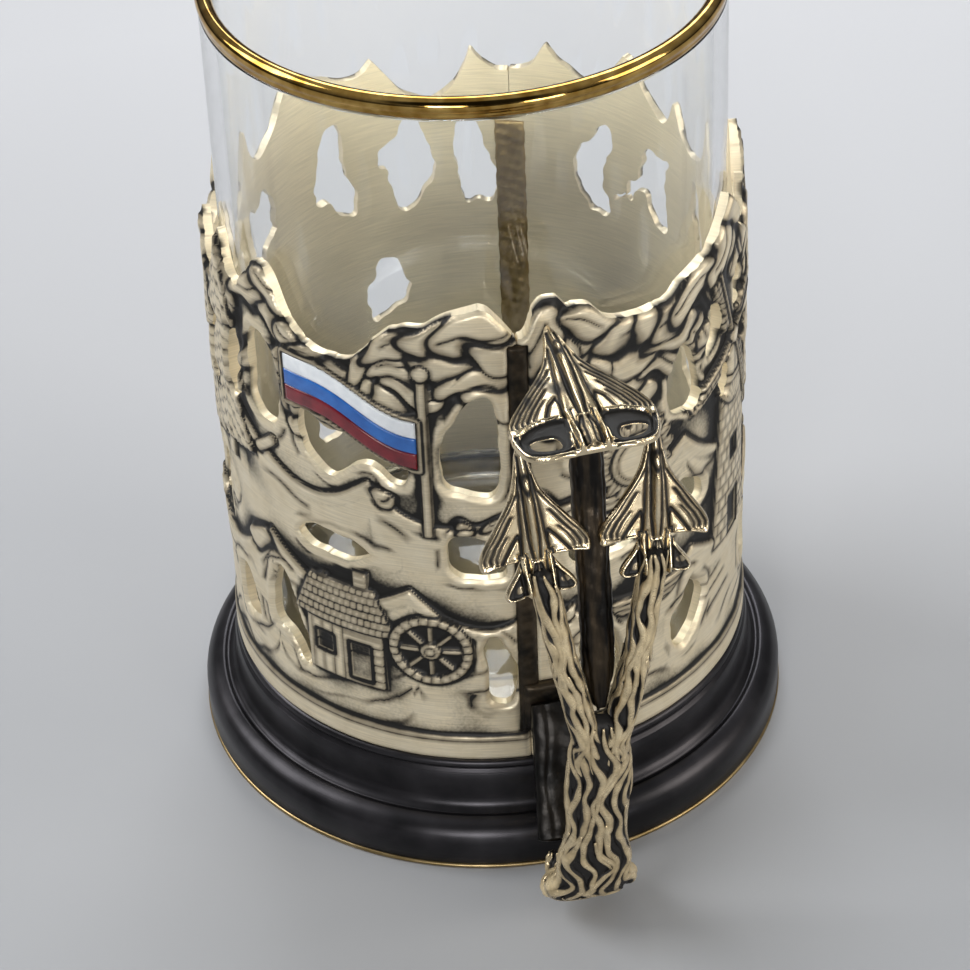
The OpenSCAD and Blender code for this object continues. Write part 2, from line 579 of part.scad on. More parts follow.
// One relief half shell: side -1 is the left half, seen from the handle, and 1 is the right
module sleeve_half(side, valley_shares, far_shares, near_shares, window_shares, motif_shares) {
    difference() {
        union() {
            half_ring(side, sleeve_out, sleeve_in, sleeve_foot, level(1));
            half_ring(side, base_top_r, sleeve_in + sleeve_wall / 4, sleeve_foot, sleeve_foot + foot_band_h);
            hill(side, 0.3, sleeve_in + sleeve_wall / 3, step_h, hill_top_share, far_shares);
            hill(side, 0.6, sleeve_in + sleeve_wall * 0.6, step_h / 2, hill_top_share / 3 * 2, near_shares);
            for (m = motif_shares) raised(side, m);
            if (side < 0) flag_slab(0, 3, flag_frame, sleeve_in + sleeve_wall * 0.4, flag_out - enamel_gap);
        }
        for (line = valley_shares) valley(line);
        for (w = window_shares) window(w);
        if (side < 0) flag_slab(0, 3, 0, enamel_in, relief_out + overrun);
        seam_bar(enamel_gap, relief_out + overrun, relief_out + overrun);
    }
}

module sleeve_left() {
    color(bronze) sleeve_half(-1, left_valley_shares, left_far_shares, left_near_shares, left_window_shares, left_motif_shares);
}

module sleeve_right() {
    color(bronze) sleeve_half(1, right_valley_shares, right_far_shares, right_near_shares, right_window_shares, right_motif_shares);
}

rear_low_share = 0.78;
module rear_seam_strip() {
    strip_low = sleeve_foot + foot_band_h;
    color(bronze) rotate([0, 0, rear_turn]) intersection() {
        difference() {
            cylinder(h = rim_z, r = sleeve_in, $fn = round_fn);
            translate([0, 0, -overrun]) cylinder(h = rim_z + overrun * 2, r = sleeve_in - strip_t, $fn = round_fn);
        }
        translate([0, -strip_w / 2, strip_low]) cube([sleeve_in + overrun, strip_w, level(rear_low_share) - strip_low]);
    }
}

module front_seam_bar() {
    color(black_brass) seam_bar(0, sleeve_out + relief_h / 2, bar_face);
}

// Half width of a side trail and its distance from the handle's plane, at a share of the line
trail_in = trail_w * 0.5;
function trail_run(at) = (at - trail_share) / (merge_share - trail_share);
function trail_side(at) = trail_in + (tail_out - trail_in) * pow(1 - trail_run(at), 0.9);
function trail_half(at) = trail_w / 2 * (1 + 0.1 * trail_run(at));

// The dark trail between the side aircraft: under their wings, between the side trails, up to the fork
spine_inset_shares = [[0, 0.4], [0.08, 0.7], [0.165, 1.1], [0.225, 1.17], [0.27, 0.95], [0.33, 0.68], [0.446, 0.4]];
spine_fn = 22;
function spine_half(at) = at <= trail_share ? spine_w / 2
    : min(spine_w / 2, trail_side(at) - trail_half(at) - seam_gap);
module handle_spine() {
    color(black_brass) difference() {
        loft([for (k = [0 : spine_fn])
            let (at = (fork_share - fork_gap_share) * k / spine_fn, t = at * last_station, p = path_point(handle_line, t),
                d = path_dir(handle_line, max(t, slope_share)))
            ring(p - spine_t * lookup(at, spine_inset_shares) * [-d[1], d[0]], d, 0, spine_half(at), spine_t / 2, 10)]);
        on_top() translate([-handle_out, -lead_span, 0]) cube([handle_out * 2, lead_span * 2, rim_z]);
    }
}

arm_fn = 10;
module lower_arm() {
    color(black_brass) difference() {
        loft([for (k = [0 : arm_fn])
            let (t = (len(arm_line) - 1) * k / arm_fn, p = path_point(arm_line, t), d = path_dir(arm_line, t))
            ring(p, d, 0, arm_w / 2 * (1 + (arm_flare_share - 1) * k / arm_fn), arm_t / 2, 12)]);
        translate([0, -arm_w, 0]) cube([bar_face, arm_w * 2, rim_z]);
    }
}

// Smoke column: knuckle and stem in one loft, and a trail to each side aircraft
column_fn = 26;
trail_fn = 12;
fork_gap_share = 0.002;
module smoke_column() {
    color(bronze) union() {
        loft([for (k = [0 : column_fn])
            let (at = fork_share + (1 - fork_share) * k / column_fn, t = at * last_station,
                p = path_point(handle_line, t), d = path_dir(handle_line, t),
                swell = max(0, 1 - abs(at - swell_share) / swell_reach_share), ripple = 1 + 0.05 * sin(t * 230))
            ring(p, d, 0, (column_w + (knuckle_w - column_w) * swell) / 2 * ripple,
                column_t / 2 * (0.86 + 0.14 * ripple), 14)]);
        for (side = [-1, 1]) difference() {
            loft([for (k = [0 : trail_fn])
                let (at = trail_share + (merge_share - trail_share) * k / trail_fn, t = at * last_station,
                    p = path_point(handle_line, t), d = path_dir(handle_line, t))
                ring(p, d, side * trail_side(at), trail_half(at), column_t / 2 * (0.94 - 0.2 * (1 - k / trail_fn)), 10)]);
            beside(side) translate([0, -wing_span / 2, -wing_span / 2]) cube([wing_l, wing_span, wing_span]);
        }
    }
}

// Small twin-tailed aircraft: tail at the origin, nose along +X, upper side towards +Z
module aircraft(length, span) {
    for (side = [-1, 1]) scale([1, side, 1]) {
        linear_extrude(wing_t) polygon([[length * 0.24, 0], [length * 0.25, span * 0.2], [length * 0.22, span * 0.5],
            [length * 0.35, span * 0.5], [length * 0.58, span * 0.24], [length * 0.68, span * 0.13],
            [length * 0.92, span * 0.06], [length * 0.92, 0]]);
        linear_extrude(wing_t) polygon([[length * 0.02, 0], [length * 0.02, span * 0.3], [length * 0.08, span * 0.32],
            [length * 0.25, span * 0.14], [length * 0.3, 0]]);
        translate([0, span * 0.075, body_t * 0.34]) rotate([0, 90, 0])
            cylinder(h = length * 0.34, d = body_t * 0.5, $fn = 24);
        translate([length * 0.03, span * 0.15, 0]) rotate([90, 0, 0]) translate([0, 0, -wing_t / 3])
            linear_extrude(wing_t * 0.66) polygon([[0, 0], [length * 0.24, 0], [length * 0.11, body_t * 0.8],
                [length * 0.02, body_t * 0.8]]);
    }
    hull() {
        translate([length * 0.06, 0, span * 0.085]) rotate([0, 90, 0]) cylinder(h = wing_t, d = span * 0.16, $fn = 24);
        translate([length * 0.52, 0, body_t * 0.45]) sphere(d = body_t * 0.84, $fn = 24);
        translate([length * 0.72, 0, body_t * 0.52]) sphere(d = body_t * 0.66, $fn = 24);
        translate([length - wing_t * 0.3, 0, wing_t / 2]) sphere(d = wing_t * 0.6, $fn = 24);
    }
}

// The front aircraft lies on top of the handle and climbs to its nose, against the cloud on the sleeve
lead_climb = 8.4;
lead_nose = relief_out + seam_gap;
lead_l = handle_out - lead_tail - lead_nose;
lead_z = handle_top - body_t * 0.8 - lead_l * sin(lead_climb);
module on_top() {
    translate([lead_nose + lead_l, 0, lead_z]) rotate([0, 0, half_turn]) rotate([0, -lead_climb, 0]) children();
}

module lead_aircraft() {
    color(bronze) on_top() aircraft(lead_l, lead_span);
}

// A side aircraft stands outside its trail and leans in, its nose under the front one's wing
side_pitch = 103.5;
side_lean = 3.6;
side_z_share = 0.708;
tail_out = wing_span * 0.515;
module beside(side) {
    translate([handle_out - column_t * 0.58, side * tail_out, handle_top * side_z_share])
        rotate([-side * side_lean, 0, 0]) rotate([0, -side_pitch, 0]) mirror([0, 0, 1]) children();
}

module side_aircraft(side) {
    color(bronze) beside(side) aircraft(wing_l, wing_span);
}

module left_aircraft() {
    side_aircraft(-1);
}

module right_aircraft() {
    side_aircraft(1);
}

glass_tumbler();
rim_gilding();
base_ring();
seat_disc();
bottom_plate();
sleeve_left();
sleeve_right();
rear_seam_strip();
front_seam_bar();
enamel(0, "white");  // enamel_white
enamel(1, "#2f5fa8");  // enamel_blue
enamel(2, "#8a1f2b");  // enamel_red
handle_spine();
lower_arm();
smoke_column();
lead_aircraft();
left_aircraft();
right_aircraft();
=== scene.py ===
import math

import bpy
import numpy as np
from mathutils import Matrix, Vector
from mathutils.geometry import delaunay_2d_cdt


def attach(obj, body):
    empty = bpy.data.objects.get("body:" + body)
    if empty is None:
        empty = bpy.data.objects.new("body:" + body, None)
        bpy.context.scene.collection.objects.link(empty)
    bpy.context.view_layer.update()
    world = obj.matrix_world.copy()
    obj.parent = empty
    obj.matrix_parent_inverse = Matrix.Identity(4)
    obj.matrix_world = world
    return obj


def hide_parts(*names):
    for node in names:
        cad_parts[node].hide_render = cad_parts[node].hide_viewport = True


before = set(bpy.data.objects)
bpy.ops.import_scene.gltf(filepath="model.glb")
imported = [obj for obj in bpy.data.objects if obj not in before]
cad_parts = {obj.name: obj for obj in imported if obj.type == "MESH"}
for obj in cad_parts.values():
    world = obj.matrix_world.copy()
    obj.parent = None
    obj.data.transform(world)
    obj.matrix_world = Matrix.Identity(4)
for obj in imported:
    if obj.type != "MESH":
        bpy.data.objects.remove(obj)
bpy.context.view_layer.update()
mm = 0.001

# small helpers


def hexColour(text):
    parts = [int(text[i:i + 2], 16) / 255 for i in (1, 3, 5)]
    return tuple([p / 12.92 if p <= 0.04045 else ((p + 0.055) / 1.055) ** 2.4 for p in parts] + [1.0])


# a node with its settings, input values and links; a linked node gives its first live output, and a colour
# ramp has stops
def addNode(tree, kind, values=None, stops=()):
    node = tree.nodes.new(kind)
    for key, value in (values or {}).items():
        if isinstance(key, str) and key not in node.inputs:
            setattr(node, key, value)
            continue
        if isinstance(value, bpy.types.Node):
            value = next(socket for socket in value.outputs if socket.enabled)
        if isinstance(value, bpy.types.NodeSocket):
            tree.links.new(value, node.inputs[key])
        else:
            node.inputs[key].default_value = hexColour(value) if str(value).startswith("#") else value
    for element, (position, colour) in zip(node.color_ramp.elements if stops else (), stops):
        element.position, element.color = position, hexColour(colour)
    return node


def newMaterial(name):
    material = bpy.data.materials.new(name)
    material.use_nodes = True
    material.node_tree.nodes.clear()
    return material, material.node_tree


# points in mm; marks are per-point numbers kept as attributes; uv is in mm
def makePiece(name, points, faces, body, nodes, material, marks=None, uv=None):
    mesh = bpy.data.meshes.new(name)
    mesh.from_pydata((np.asarray(points) * mm).tolist(), [], [tuple(int(i) for i in f) for f in faces])
    for key, values in (marks or {}).items():
        layer = mesh.attributes.new(key, "FLOAT", "POINT")
        layer.data.foreach_set("value", np.ascontiguousarray(values, dtype=np.float32))
    if uv is not None:
        corners = np.zeros(len(mesh.loops), dtype=np.int32)
        mesh.loops.foreach_get("vertex_index", corners)
        layer = mesh.uv_layers.new(name="surface")
        layer.data.foreach_set("uv", np.ascontiguousarray(np.asarray(uv)[corners], dtype=np.float32).ravel())
    mesh.polygons.foreach_set("use_smooth", [True] * len(mesh.polygons))
    mesh.validate()
    mesh.update()
    piece = bpy.data.objects.new(name, mesh)
    bpy.context.scene.collection.objects.link(piece)
    mesh.materials.append(material)
    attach(piece, body)
    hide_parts(*nodes)
    return piece


# place at share t between b and c on a smooth line through a, b, c and d
def between(a, b, c, d, t):
    return (2 * b + (c - a) * t + (2 * a - 5 * b + 4 * c - d) * t * t + (3 * b - a - 3 * c + d) * t ** 3) / 2


def catmull(points, perStep, closed=False):
    pts = np.asarray(points, float)
    count = len(pts)
    out = []
    for i in range(count if closed else count - 1):
        if closed:
            a, b, c, d = pts[(i - 1) % count], pts[i], pts[(i + 1) % count], pts[(i + 2) % count]
        else:
            a, b, c, d = pts[max(i - 1, 0)], pts[i], pts[i + 1], pts[min(i + 2, count - 1)]
        out += [between(a, b, c, d, k / perStep) for k in range(perStep)]
    if not closed:
        out.append(pts[-1])
    return np.array(out)


# turns a closed half section (r, z in mm) about Z; points on the axis become one pole
def turned(section, steps, closed=True):
    section = np.asarray(section, float)
    count = len(section)
    angle = np.arange(steps) * 2 * math.pi / steps
    index, points = [], []
    for r, z in section:
        if r < 1e-4:
            index.append([len(points)] * steps)
            points.append((0.0, 0.0, z))
        else:
            index.append(list(range(len(points), len(points) + steps)))
            points += [(r * math.cos(a), r * math.sin(a), z) for a in angle]
    faces = []
    for i in range(count if closed else count - 1):
        a, b = index[i], index[(i + 1) % count]
        for k in range(steps):
            n = (k + 1) % steps
            ring = [a[k], a[n], b[n], b[k]]
            face = [v for j, v in enumerate(ring) if v != ring[j - 1]]
            if len(face) > 2:
                faces.append(face)
    return np.array(points), faces


def arcPoints(cx, cz, r, start, end, count):
    return [(cx + r * math.cos(math.radians(start + (end - start) * i / count)),
             cz + r * math.sin(math.radians(start + (end - start) * i / count))) for i in range(count + 1)]


# faces of a slab whose points come as two facing grids, first the inner one and then the outer one
def slabFaces(rows, columns):
    total = rows * columns
    faces = []
    for j in range(rows - 1):
        for i in range(columns - 1):
            a = j * columns + i
            faces.append((a, a + columns, a + columns + 1, a + 1))
            faces.append((total + a, total + a + 1, total + a + columns + 1, total + a + columns))
    loop = list(range(columns)) + [j * columns + columns - 1 for j in range(1, rows)]
    loop += [(rows - 1) * columns + i for i in range(columns - 2, -1, -1)]
    loop += [j * columns for j in range(rows - 2, 0, -1)]
    return faces + [(a, b, total + b, total + a) for a, b in zip(loop, loop[1:] + loop[:1])]


# materials

# Clear soda-lime glass, pressed and fire polished: no tint worth seeing, faint ripple from the mould
def clearGlass():
    material, tree = newMaterial("clearSodaLimeGlass")
    where = addNode(tree, "ShaderNodeTexCoord").outputs
    # ripples of 9 mm, as a mould leaves
    ripple = addNode(tree, "ShaderNodeTexNoise", {"Vector": where["Object"], "Scale": 110.0, "Detail": 1.0})
    bump = addNode(tree, "ShaderNodeBump", {"Strength": 0.02, "Distance": 0.0003, "Height": ripple})
    # the wall looks darker where it is seen along its length
    grazing = addNode(tree, "ShaderNodeLayerWeight", {"Blend": 0.5})
    depth = addNode(tree, "ShaderNodeMapRange",
                    {"Value": grazing.outputs["Facing"], "From Min": 0.78, "From Max": 1.0})
    tone = addNode(tree, "ShaderNodeMix", {"data_type": "RGBA", "Factor": depth, 6: "#FDFEFE", 7: "#A9B1B0"})
    glass = addNode(tree, "ShaderNodeBsdfPrincipled", {
        "Base Color": tone, "Roughness": 0.015, "IOR": 1.5, "Transmission Weight": 1.0,
        "Normal": bump})
    clear = addNode(tree, "ShaderNodeBsdfTransparent", {"Color": "#FAFCFB"})
    ray = addNode(tree, "ShaderNodeLightPath")
    mix = addNode(tree, "ShaderNodeMixShader", {0: ray.outputs["Is Shadow Ray"], 1: glass, 2: clear})
    addNode(tree, "ShaderNodeOutputMaterial", {"Surface": mix})
    return material


# Burnished liquid gold, fired on glass: mirror bright, a little wavy and thin at its edges
def firedGold():
    material, tree = newMaterial("firedLiquidGold")
    where = addNode(tree, "ShaderNodeTexCoord").outputs
    wear = addNode(tree, "ShaderNodeTexNoise", {"Vector": where["Object"], "Scale": 420.0, "Detail": 4.0})
    tone = addNode(tree, "ShaderNodeValToRGB", {"Fac": wear}, stops=((0.35, "#96702F"), (0.68, "#C9A660")))
    rough = addNode(tree, "ShaderNodeMapRange", {"Value": wear, "To Min": 0.05, "To Max": 0.13})
    bump = addNode(tree, "ShaderNodeBump", {"Strength": 0.05, "Distance": 0.0002, "Height": wear})
    shader = addNode(tree, "ShaderNodeBsdfPrincipled", {
        "Base Color": tone, "Metallic": 1.0, "Roughness": rough, "Normal": bump})
    addNode(tree, "ShaderNodeOutputMaterial", {"Surface": shader})
    return material


# Cast tin bronze, blackened all over and then rubbed back: pale satin high places, black in each groove.
# edge is the distance to the nearest cut line and cavity the depth under the surroundings, both in mm;
# plain is 1 on a back face, which was only brushed.
def rubbedBronze(name, pale, warm, dark, roughness, lineWidth=0.2, brushed=False, polish=0.0):
    material, tree = newMaterial(name)
    where = addNode(tree, "ShaderNodeTexCoord").outputs
    edge = addNode(tree, "ShaderNodeAttribute", {"attribute_name": "edge"})
    cavity = addNode(tree, "ShaderNodeAttribute", {"attribute_name": "cavity"})
    plain = addNode(tree, "ShaderNodeAttribute", {"attribute_name": "plain"})
    # blotches of 2 to 4 mm where the rubbing took more or less
    blotch = addNode(tree, "ShaderNodeTexNoise",
                     {"Vector": where["Object"], "Scale": 330.0, "Detail": 5.0, "Roughness": 0.6})
    # sand grain of 0.4 mm
    grain = addNode(tree, "ShaderNodeTexNoise", {"Vector": where["Object"], "Scale": 2300.0, "Detail": 3.0})
    # brush lines of 0.2 mm, stretched round the piece along its own map
    stretched = addNode(tree, "ShaderNodeMapping", {"Vector": where["UV"], "Scale": (0.16, 4.2, 1.0)})
    lines = addNode(tree, "ShaderNodeTexNoise", {"Vector": stretched, "Scale": 1.0, "Detail": 4.0})
    tone = addNode(tree, "ShaderNodeMix", {"data_type": "RGBA", "Factor": blotch, 6: pale, 7: warm})
    fine = lines if brushed else grain
    shade = addNode(tree, "ShaderNodeMapRange",
                    {"Value": fine, "From Min": 0.25, "From Max": 0.75, "To Min": 0.84, "To Max": 1.1})
    toned = addNode(tree, "ShaderNodeMix",
                    {"data_type": "RGBA", "blend_type": "MULTIPLY", "Factor": 1.0, 6: tone, 7: shade})
    # black stays within a line's width of an edge, ragged by the grain, and a brown halo lies beside it:
    # patina by the cut lines, painted shade where it darkens a wisp's low flanks
    ragged = addNode(tree, "ShaderNodeMath",
                     {"operation": "MULTIPLY_ADD", 0: blotch, 1: -0.22, 2: edge.outputs["Fac"]})
    halo = addNode(tree, "ShaderNodeMapRange",
                   {"interpolation_type": "SMOOTHSTEP", "Value": ragged, "From Min": lineWidth - 0.1,
                    "From Max": lineWidth + 0.55, "To Min": 0.6, "To Max": 0.0})
    inLine = addNode(tree, "ShaderNodeMapRange",
                     {"interpolation_type": "SMOOTHSTEP", "Value": ragged, "From Min": lineWidth - 0.16,
                      "From Max": lineWidth + 0.04, "To Min": 1.0, "To Max": 0.0})
    # black where the cavity is deep: partly the patina left in hollows, partly painted shade in the gaps
    # beside high forms
    raggedDip = addNode(tree, "ShaderNodeMath",
                        {"operation": "MULTIPLY_ADD", 0: grain, 1: 0.06, 2: cavity.outputs["Fac"]})
    inDip = addNode(tree, "ShaderNodeMapRange",
                    {"interpolation_type": "SMOOTHSTEP", "Value": raggedDip, "From Min": 0.05,
                     "From Max": 0.19, "To Min": 0.0, "To Max": 1.0})
    black = addNode(tree, "ShaderNodeMath", {"operation": "MAXIMUM", 0: inLine, 1: inDip})
    haloPatinaAndShade = addNode(tree, "ShaderNodeMix", {"data_type": "RGBA", "Factor": halo, 6: toned, 7: "#5A4A35"})
    outside = addNode(tree, "ShaderNodeMix", {"data_type": "RGBA", "Factor": black, 6: haloPatinaAndShade, 7: dark})
    satin = addNode(tree, "ShaderNodeMix",
                    {"data_type": "RGBA", "blend_type": "MULTIPLY", "Factor": 1.0, 6: "#ECDCBD", 7: shade})
    colour = addNode(tree, "ShaderNodeMix",
                     {"data_type": "RGBA", "Factor": plain.outputs["Fac"], 6: outside, 7: satin})
    gloss = addNode(tree, "ShaderNodeMapRange", {
        "Value": blotch, "From Min": 0.3, "From Max": 0.7, "To Min": roughness - 0.06,
        "To Max": roughness + 0.07})
    dull = addNode(tree, "ShaderNodeMix", {"data_type": "FLOAT", "Factor": black, 2: gloss, 3: 0.5})
    metal = addNode(tree, "ShaderNodeMapRange",
                    {"Value": black, "To Min": 1.0 if polish else 0.6, "To Max": 0.35})
    dulled = addNode(tree, "ShaderNodeMix",
                     {"data_type": "FLOAT", "Factor": plain.outputs["Fac"], 2: metal, 3: 0.5})
    high = addNode(tree, "ShaderNodeMath", {"operation": "MULTIPLY_ADD", 0: black, 1: -1.6, 2: fine})
    bump = addNode(tree, "ShaderNodeBump",
                   {"Strength": 0.22 if not polish else 0.12, "Distance": 0.00012, "Height": high})
    shader = addNode(tree, "ShaderNodeBsdfPrincipled", {
        "Base Color": colour, "Metallic": dulled, "Roughness": dull,
        "Normal": bump})
    addNode(tree, "ShaderNodeOutputMaterial", {"Surface": shader})
    return material


# Black-patinated bronze, cast and not rubbed back: nearly black, satin, a brown bloom in blotches
def blackBronze(name, deep, bloom, roughness, sheenStreak=1.0):
    material, tree = newMaterial(name)
    where = addNode(tree, "ShaderNodeTexCoord").outputs
    # blotches of 4 mm, drawn out along the piece where a streak is asked for; drawn out on the black trail,
    # the paler bloom is a painted highlight in long streaks
    drawnOut = addNode(tree, "ShaderNodeMapping", {"Vector": where["Object"], "Scale": (1.0, 1.0, sheenStreak)})
    blotch = addNode(tree, "ShaderNodeTexNoise",
                     {"Vector": drawnOut, "Scale": 260.0 / sheenStreak ** 0.5, "Detail": 5.0})
    grain = addNode(tree, "ShaderNodeTexNoise", {"Vector": where["Object"], "Scale": 1500.0, "Detail": 3.0})
    tone = addNode(tree, "ShaderNodeValToRGB", {"Fac": blotch}, stops=((0.4, deep), (0.72, bloom)))
    rough = addNode(tree, "ShaderNodeMapRange",
                    {"Value": grain, "To Min": roughness - 0.08, "To Max": roughness + 0.12})
    bump = addNode(tree, "ShaderNodeBump", {"Strength": 0.3, "Distance": 0.00015, "Height": grain})
    shader = addNode(tree, "ShaderNodeBsdfPrincipled", {
        "Base Color": tone, "Metallic": 0.85, "Roughness": rough, "Normal": bump})
    addNode(tree, "ShaderNodeOutputMaterial", {"Surface": shader})
    return material


# Spun brass, blackened and waxed: gunmetal with turning lines round the axis and a soft sheen
def spunGunmetal():
    material, tree = newMaterial("blackenedSpunBrass")
    where = addNode(tree, "ShaderNodeTexCoord").outputs
    # turning lines of 0.25 mm follow the section, which runs along the map's second axis
    stretched = addNode(tree, "ShaderNodeMapping", {"Vector": where["UV"], "Scale": (0.03, 3.4, 1.0)})
    lines = addNode(tree, "ShaderNodeTexNoise", {"Vector": stretched, "Scale": 1.0, "Detail": 4.0})
    blotch = addNode(tree, "ShaderNodeTexNoise", {"Vector": where["Object"], "Scale": 120.0, "Detail": 6.0})
    dust = addNode(tree, "ShaderNodeTexNoise", {"Vector": where["Object"], "Scale": 1900.0, "Detail": 2.0})
    tone = addNode(tree, "ShaderNodeValToRGB", {"Fac": blotch}, stops=((0.35, "#2A292B"), (0.75, "#454346")))
    rough = addNode(tree, "ShaderNodeMapRange", {"Value": blotch, "To Min": 0.28, "To Max": 0.42})
    height = addNode(tree, "ShaderNodeMath", {"operation": "MULTIPLY_ADD", 0: dust, 1: 0.35, 2: lines})
    bump = addNode(tree, "ShaderNodeBump", {"Strength": 0.1, "Distance": 0.0001, "Height": height})
    shader = addNode(tree, "ShaderNodeBsdfPrincipled", {
        "Base Color": tone, "Metallic": 0.9, "Roughness": rough, "Normal": bump})
    addNode(tree, "ShaderNodeOutputMaterial", {"Surface": shader})
    return material


# Plain turned metal without patina lines: the seat disc, the seam strip and the plate under the foot
def turnedBrass(name, low, high, roughness):
    material, tree = newMaterial(name)
    where = addNode(tree, "ShaderNodeTexCoord").outputs
    blotch = addNode(tree, "ShaderNodeTexNoise", {"Vector": where["Object"], "Scale": 240.0, "Detail": 5.0})
    scratch = addNode(tree, "ShaderNodeTexNoise", {"Vector": where["Object"], "Scale": 1700.0, "Detail": 3.0})
    tone = addNode(tree, "ShaderNodeValToRGB", {"Fac": blotch}, stops=((0.35, low), (0.7, high)))
    rough = addNode(tree, "ShaderNodeMapRange",
                    {"Value": scratch, "To Min": roughness - 0.06, "To Max": roughness + 0.1})
    bump = addNode(tree, "ShaderNodeBump", {"Strength": 0.15, "Distance": 0.0001, "Height": scratch})
    shader = addNode(tree, "ShaderNodeBsdfPrincipled", {
        "Base Color": tone, "Metallic": 1.0, "Roughness": rough, "Normal": bump})
    addNode(tree, "ShaderNodeOutputMaterial", {"Surface": shader})
    return material


# Cold enamel, poured and cured: opaque, glossy, with a meniscus at its edges and a few pits
def pouredEnamel(name, low, high):
    material, tree = newMaterial(name)
    where = addNode(tree, "ShaderNodeTexCoord").outputs
    cloud = addNode(tree, "ShaderNodeTexNoise", {"Vector": where["Object"], "Scale": 520.0, "Detail": 4.0})
    tone = addNode(tree, "ShaderNodeValToRGB", {"Fac": cloud}, stops=((0.3, low), (0.7, high)))
    rough = addNode(tree, "ShaderNodeMapRange", {"Value": cloud, "To Min": 0.14, "To Max": 0.3})
    bump = addNode(tree, "ShaderNodeBump", {"Strength": 0.1, "Distance": 0.0002, "Height": cloud})
    shader = addNode(tree, "ShaderNodeBsdfPrincipled", {
        "Base Color": tone, "Roughness": rough, "Coat Weight": 0.6, "Coat Roughness": 0.08,
        "Normal": bump})
    addNode(tree, "ShaderNodeOutputMaterial", {"Surface": shader})
    return material


glassMaterial = clearGlass()
goldMaterial = firedGold()
reliefMaterial = rubbedBronze("rubbedCastBronze", "#F2E7CD", "#D8C8A6", "#14120F", 0.4, lineWidth=0.15,
                              brushed=True)
columnMaterial = rubbedBronze("smokeColumnBronze", "#FBEBC6", "#D9BE8B", "#15120F", 0.28)
aircraftMaterial = rubbedBronze("polishedAircraftBronze", "#F0E4C8", "#C9AF80", "#16130F", 0.22, polish=1.0)
# the trail's long paler streaks are painted highlights
spineMaterial = blackBronze("blackTrailBronze", "#171513", "#463B2D", 0.32, sheenStreak=0.12)
armMaterial = blackBronze("blackArmBronze", "#181716", "#2C2926", 0.34)
seamMaterial = blackBronze("blackSeamBronze", "#211E1A", "#54493A", 0.42)
baseMaterial = spunGunmetal()
plateMaterial = turnedBrass("turnedPlateBrass", "#8A7650", "#B09A72", 0.34)
seatMaterial = turnedBrass("turnedSeatBronze", "#7C6C4E", "#A3916C", 0.36)
stripMaterial = turnedBrass("solderedStripBronze", "#947A4E", "#BDA272", 0.4)
whiteEnamel = pouredEnamel("whiteEnamel", "#DDE2E6", "#F1F4F6")
blueEnamel = pouredEnamel("blueEnamel", "#1F59A6", "#2C6DBD")
redEnamel = pouredEnamel("redEnamel", "#5F101B", "#7E1823")
print("materials made")

# camera, floor and light

lens = {"sensor": 36.0, "focal": 123.78}
camera = bpy.data.objects.new("camera", bpy.data.cameras.new("camera"))
bpy.context.scene.collection.objects.link(camera)
camera.data.sensor_width = lens["sensor"]
camera.data.lens = lens["focal"]
camera.data.clip_start, camera.data.clip_end = 0.02, 20.0
place = Vector((0.361334, -0.083412, 0.3143))
ahead = Vector((-0.77728, 0.17945, -0.60303)).normalized()
upward = Vector((-0.577, 0.1788, 0.79693)).normalized()
across = ahead.cross(upward).normalized()
upward = across.cross(ahead).normalized()
camera.matrix_world = Matrix(((across.x, upward.x, -ahead.x, place.x),
                              (across.y, upward.y, -ahead.y, place.y),
                              (across.z, upward.z, -ahead.z, place.z), (0, 0, 0, 1)))
bpy.context.scene.camera = camera

scene = bpy.context.scene
scene.view_settings.view_transform = "Standard"

floorMesh = bpy.data.meshes.new("floor")
floorMesh.from_pydata([(-3, -3, 0), (3, -3, 0), (3, 3, 0), (-3, 3, 0)], [], [(0, 1, 2, 3)])
floor = bpy.data.objects.new("floor", floorMesh)
scene.collection.objects.link(floor)
floorMaterial, tree = newMaterial("paleTableCard")
where = addNode(tree, "ShaderNodeTexCoord").outputs
# painted shade: the card's colour is darker on the handle's side and on the left, as a lamp at the back would
# leave it
spread = addNode(tree, "ShaderNodeSeparateXYZ", {"Vector": where["Object"]})
paintedFalloff = addNode(tree, "ShaderNodeMapRange",
               {"Value": spread.outputs["X"], "From Min": -0.2, "From Max": 0.09, "To Min": 0.0,
                "To Max": 1.0})
cross = addNode(tree, "ShaderNodeMapRange",
                {"Value": spread.outputs["Y"], "From Min": -0.1, "From Max": 0.1, "To Min": 0.86,
                 "To Max": 1.04})
cloud = addNode(tree, "ShaderNodeTexNoise", {"Vector": where["Object"], "Scale": 9.0, "Detail": 2.0})
tint = addNode(tree, "ShaderNodeMix", {"data_type": "RGBA", "Factor": paintedFalloff, 6: "#D0D1D4", 7: "#A3A5A8"})
tint = addNode(tree, "ShaderNodeMix",
               {"data_type": "RGBA", "blend_type": "MULTIPLY", "Factor": 1.0, 6: tint, 7: cross})
mottle = addNode(tree, "ShaderNodeMapRange", {"Value": cloud, "To Min": 0.97, "To Max": 1.03})
card = addNode(tree, "ShaderNodeMix",
               {"data_type": "RGBA", "blend_type": "MULTIPLY", "Factor": 1.0, 6: tint, 7: mottle})
shader = addNode(tree, "ShaderNodeBsdfPrincipled", {"Base Color": card, "Roughness": 0.6})
addNode(tree, "ShaderNodeOutputMaterial", {"Surface": shader})
floorMesh.materials.append(floorMaterial)

world = bpy.data.worlds.new("studio")
scene.world = world
world.use_nodes = True
tree = world.node_tree
tree.nodes.clear()
where = addNode(tree, "ShaderNodeTexCoord").outputs
spread = addNode(tree, "ShaderNodeSeparateXYZ", {"Vector": where["Generated"]})
ramp = addNode(tree, "ShaderNodeValToRGB", {"Fac": spread.outputs["Z"]},
               stops=((0.05, "#4A4A4D"), (0.8, "#E9ECF0")))
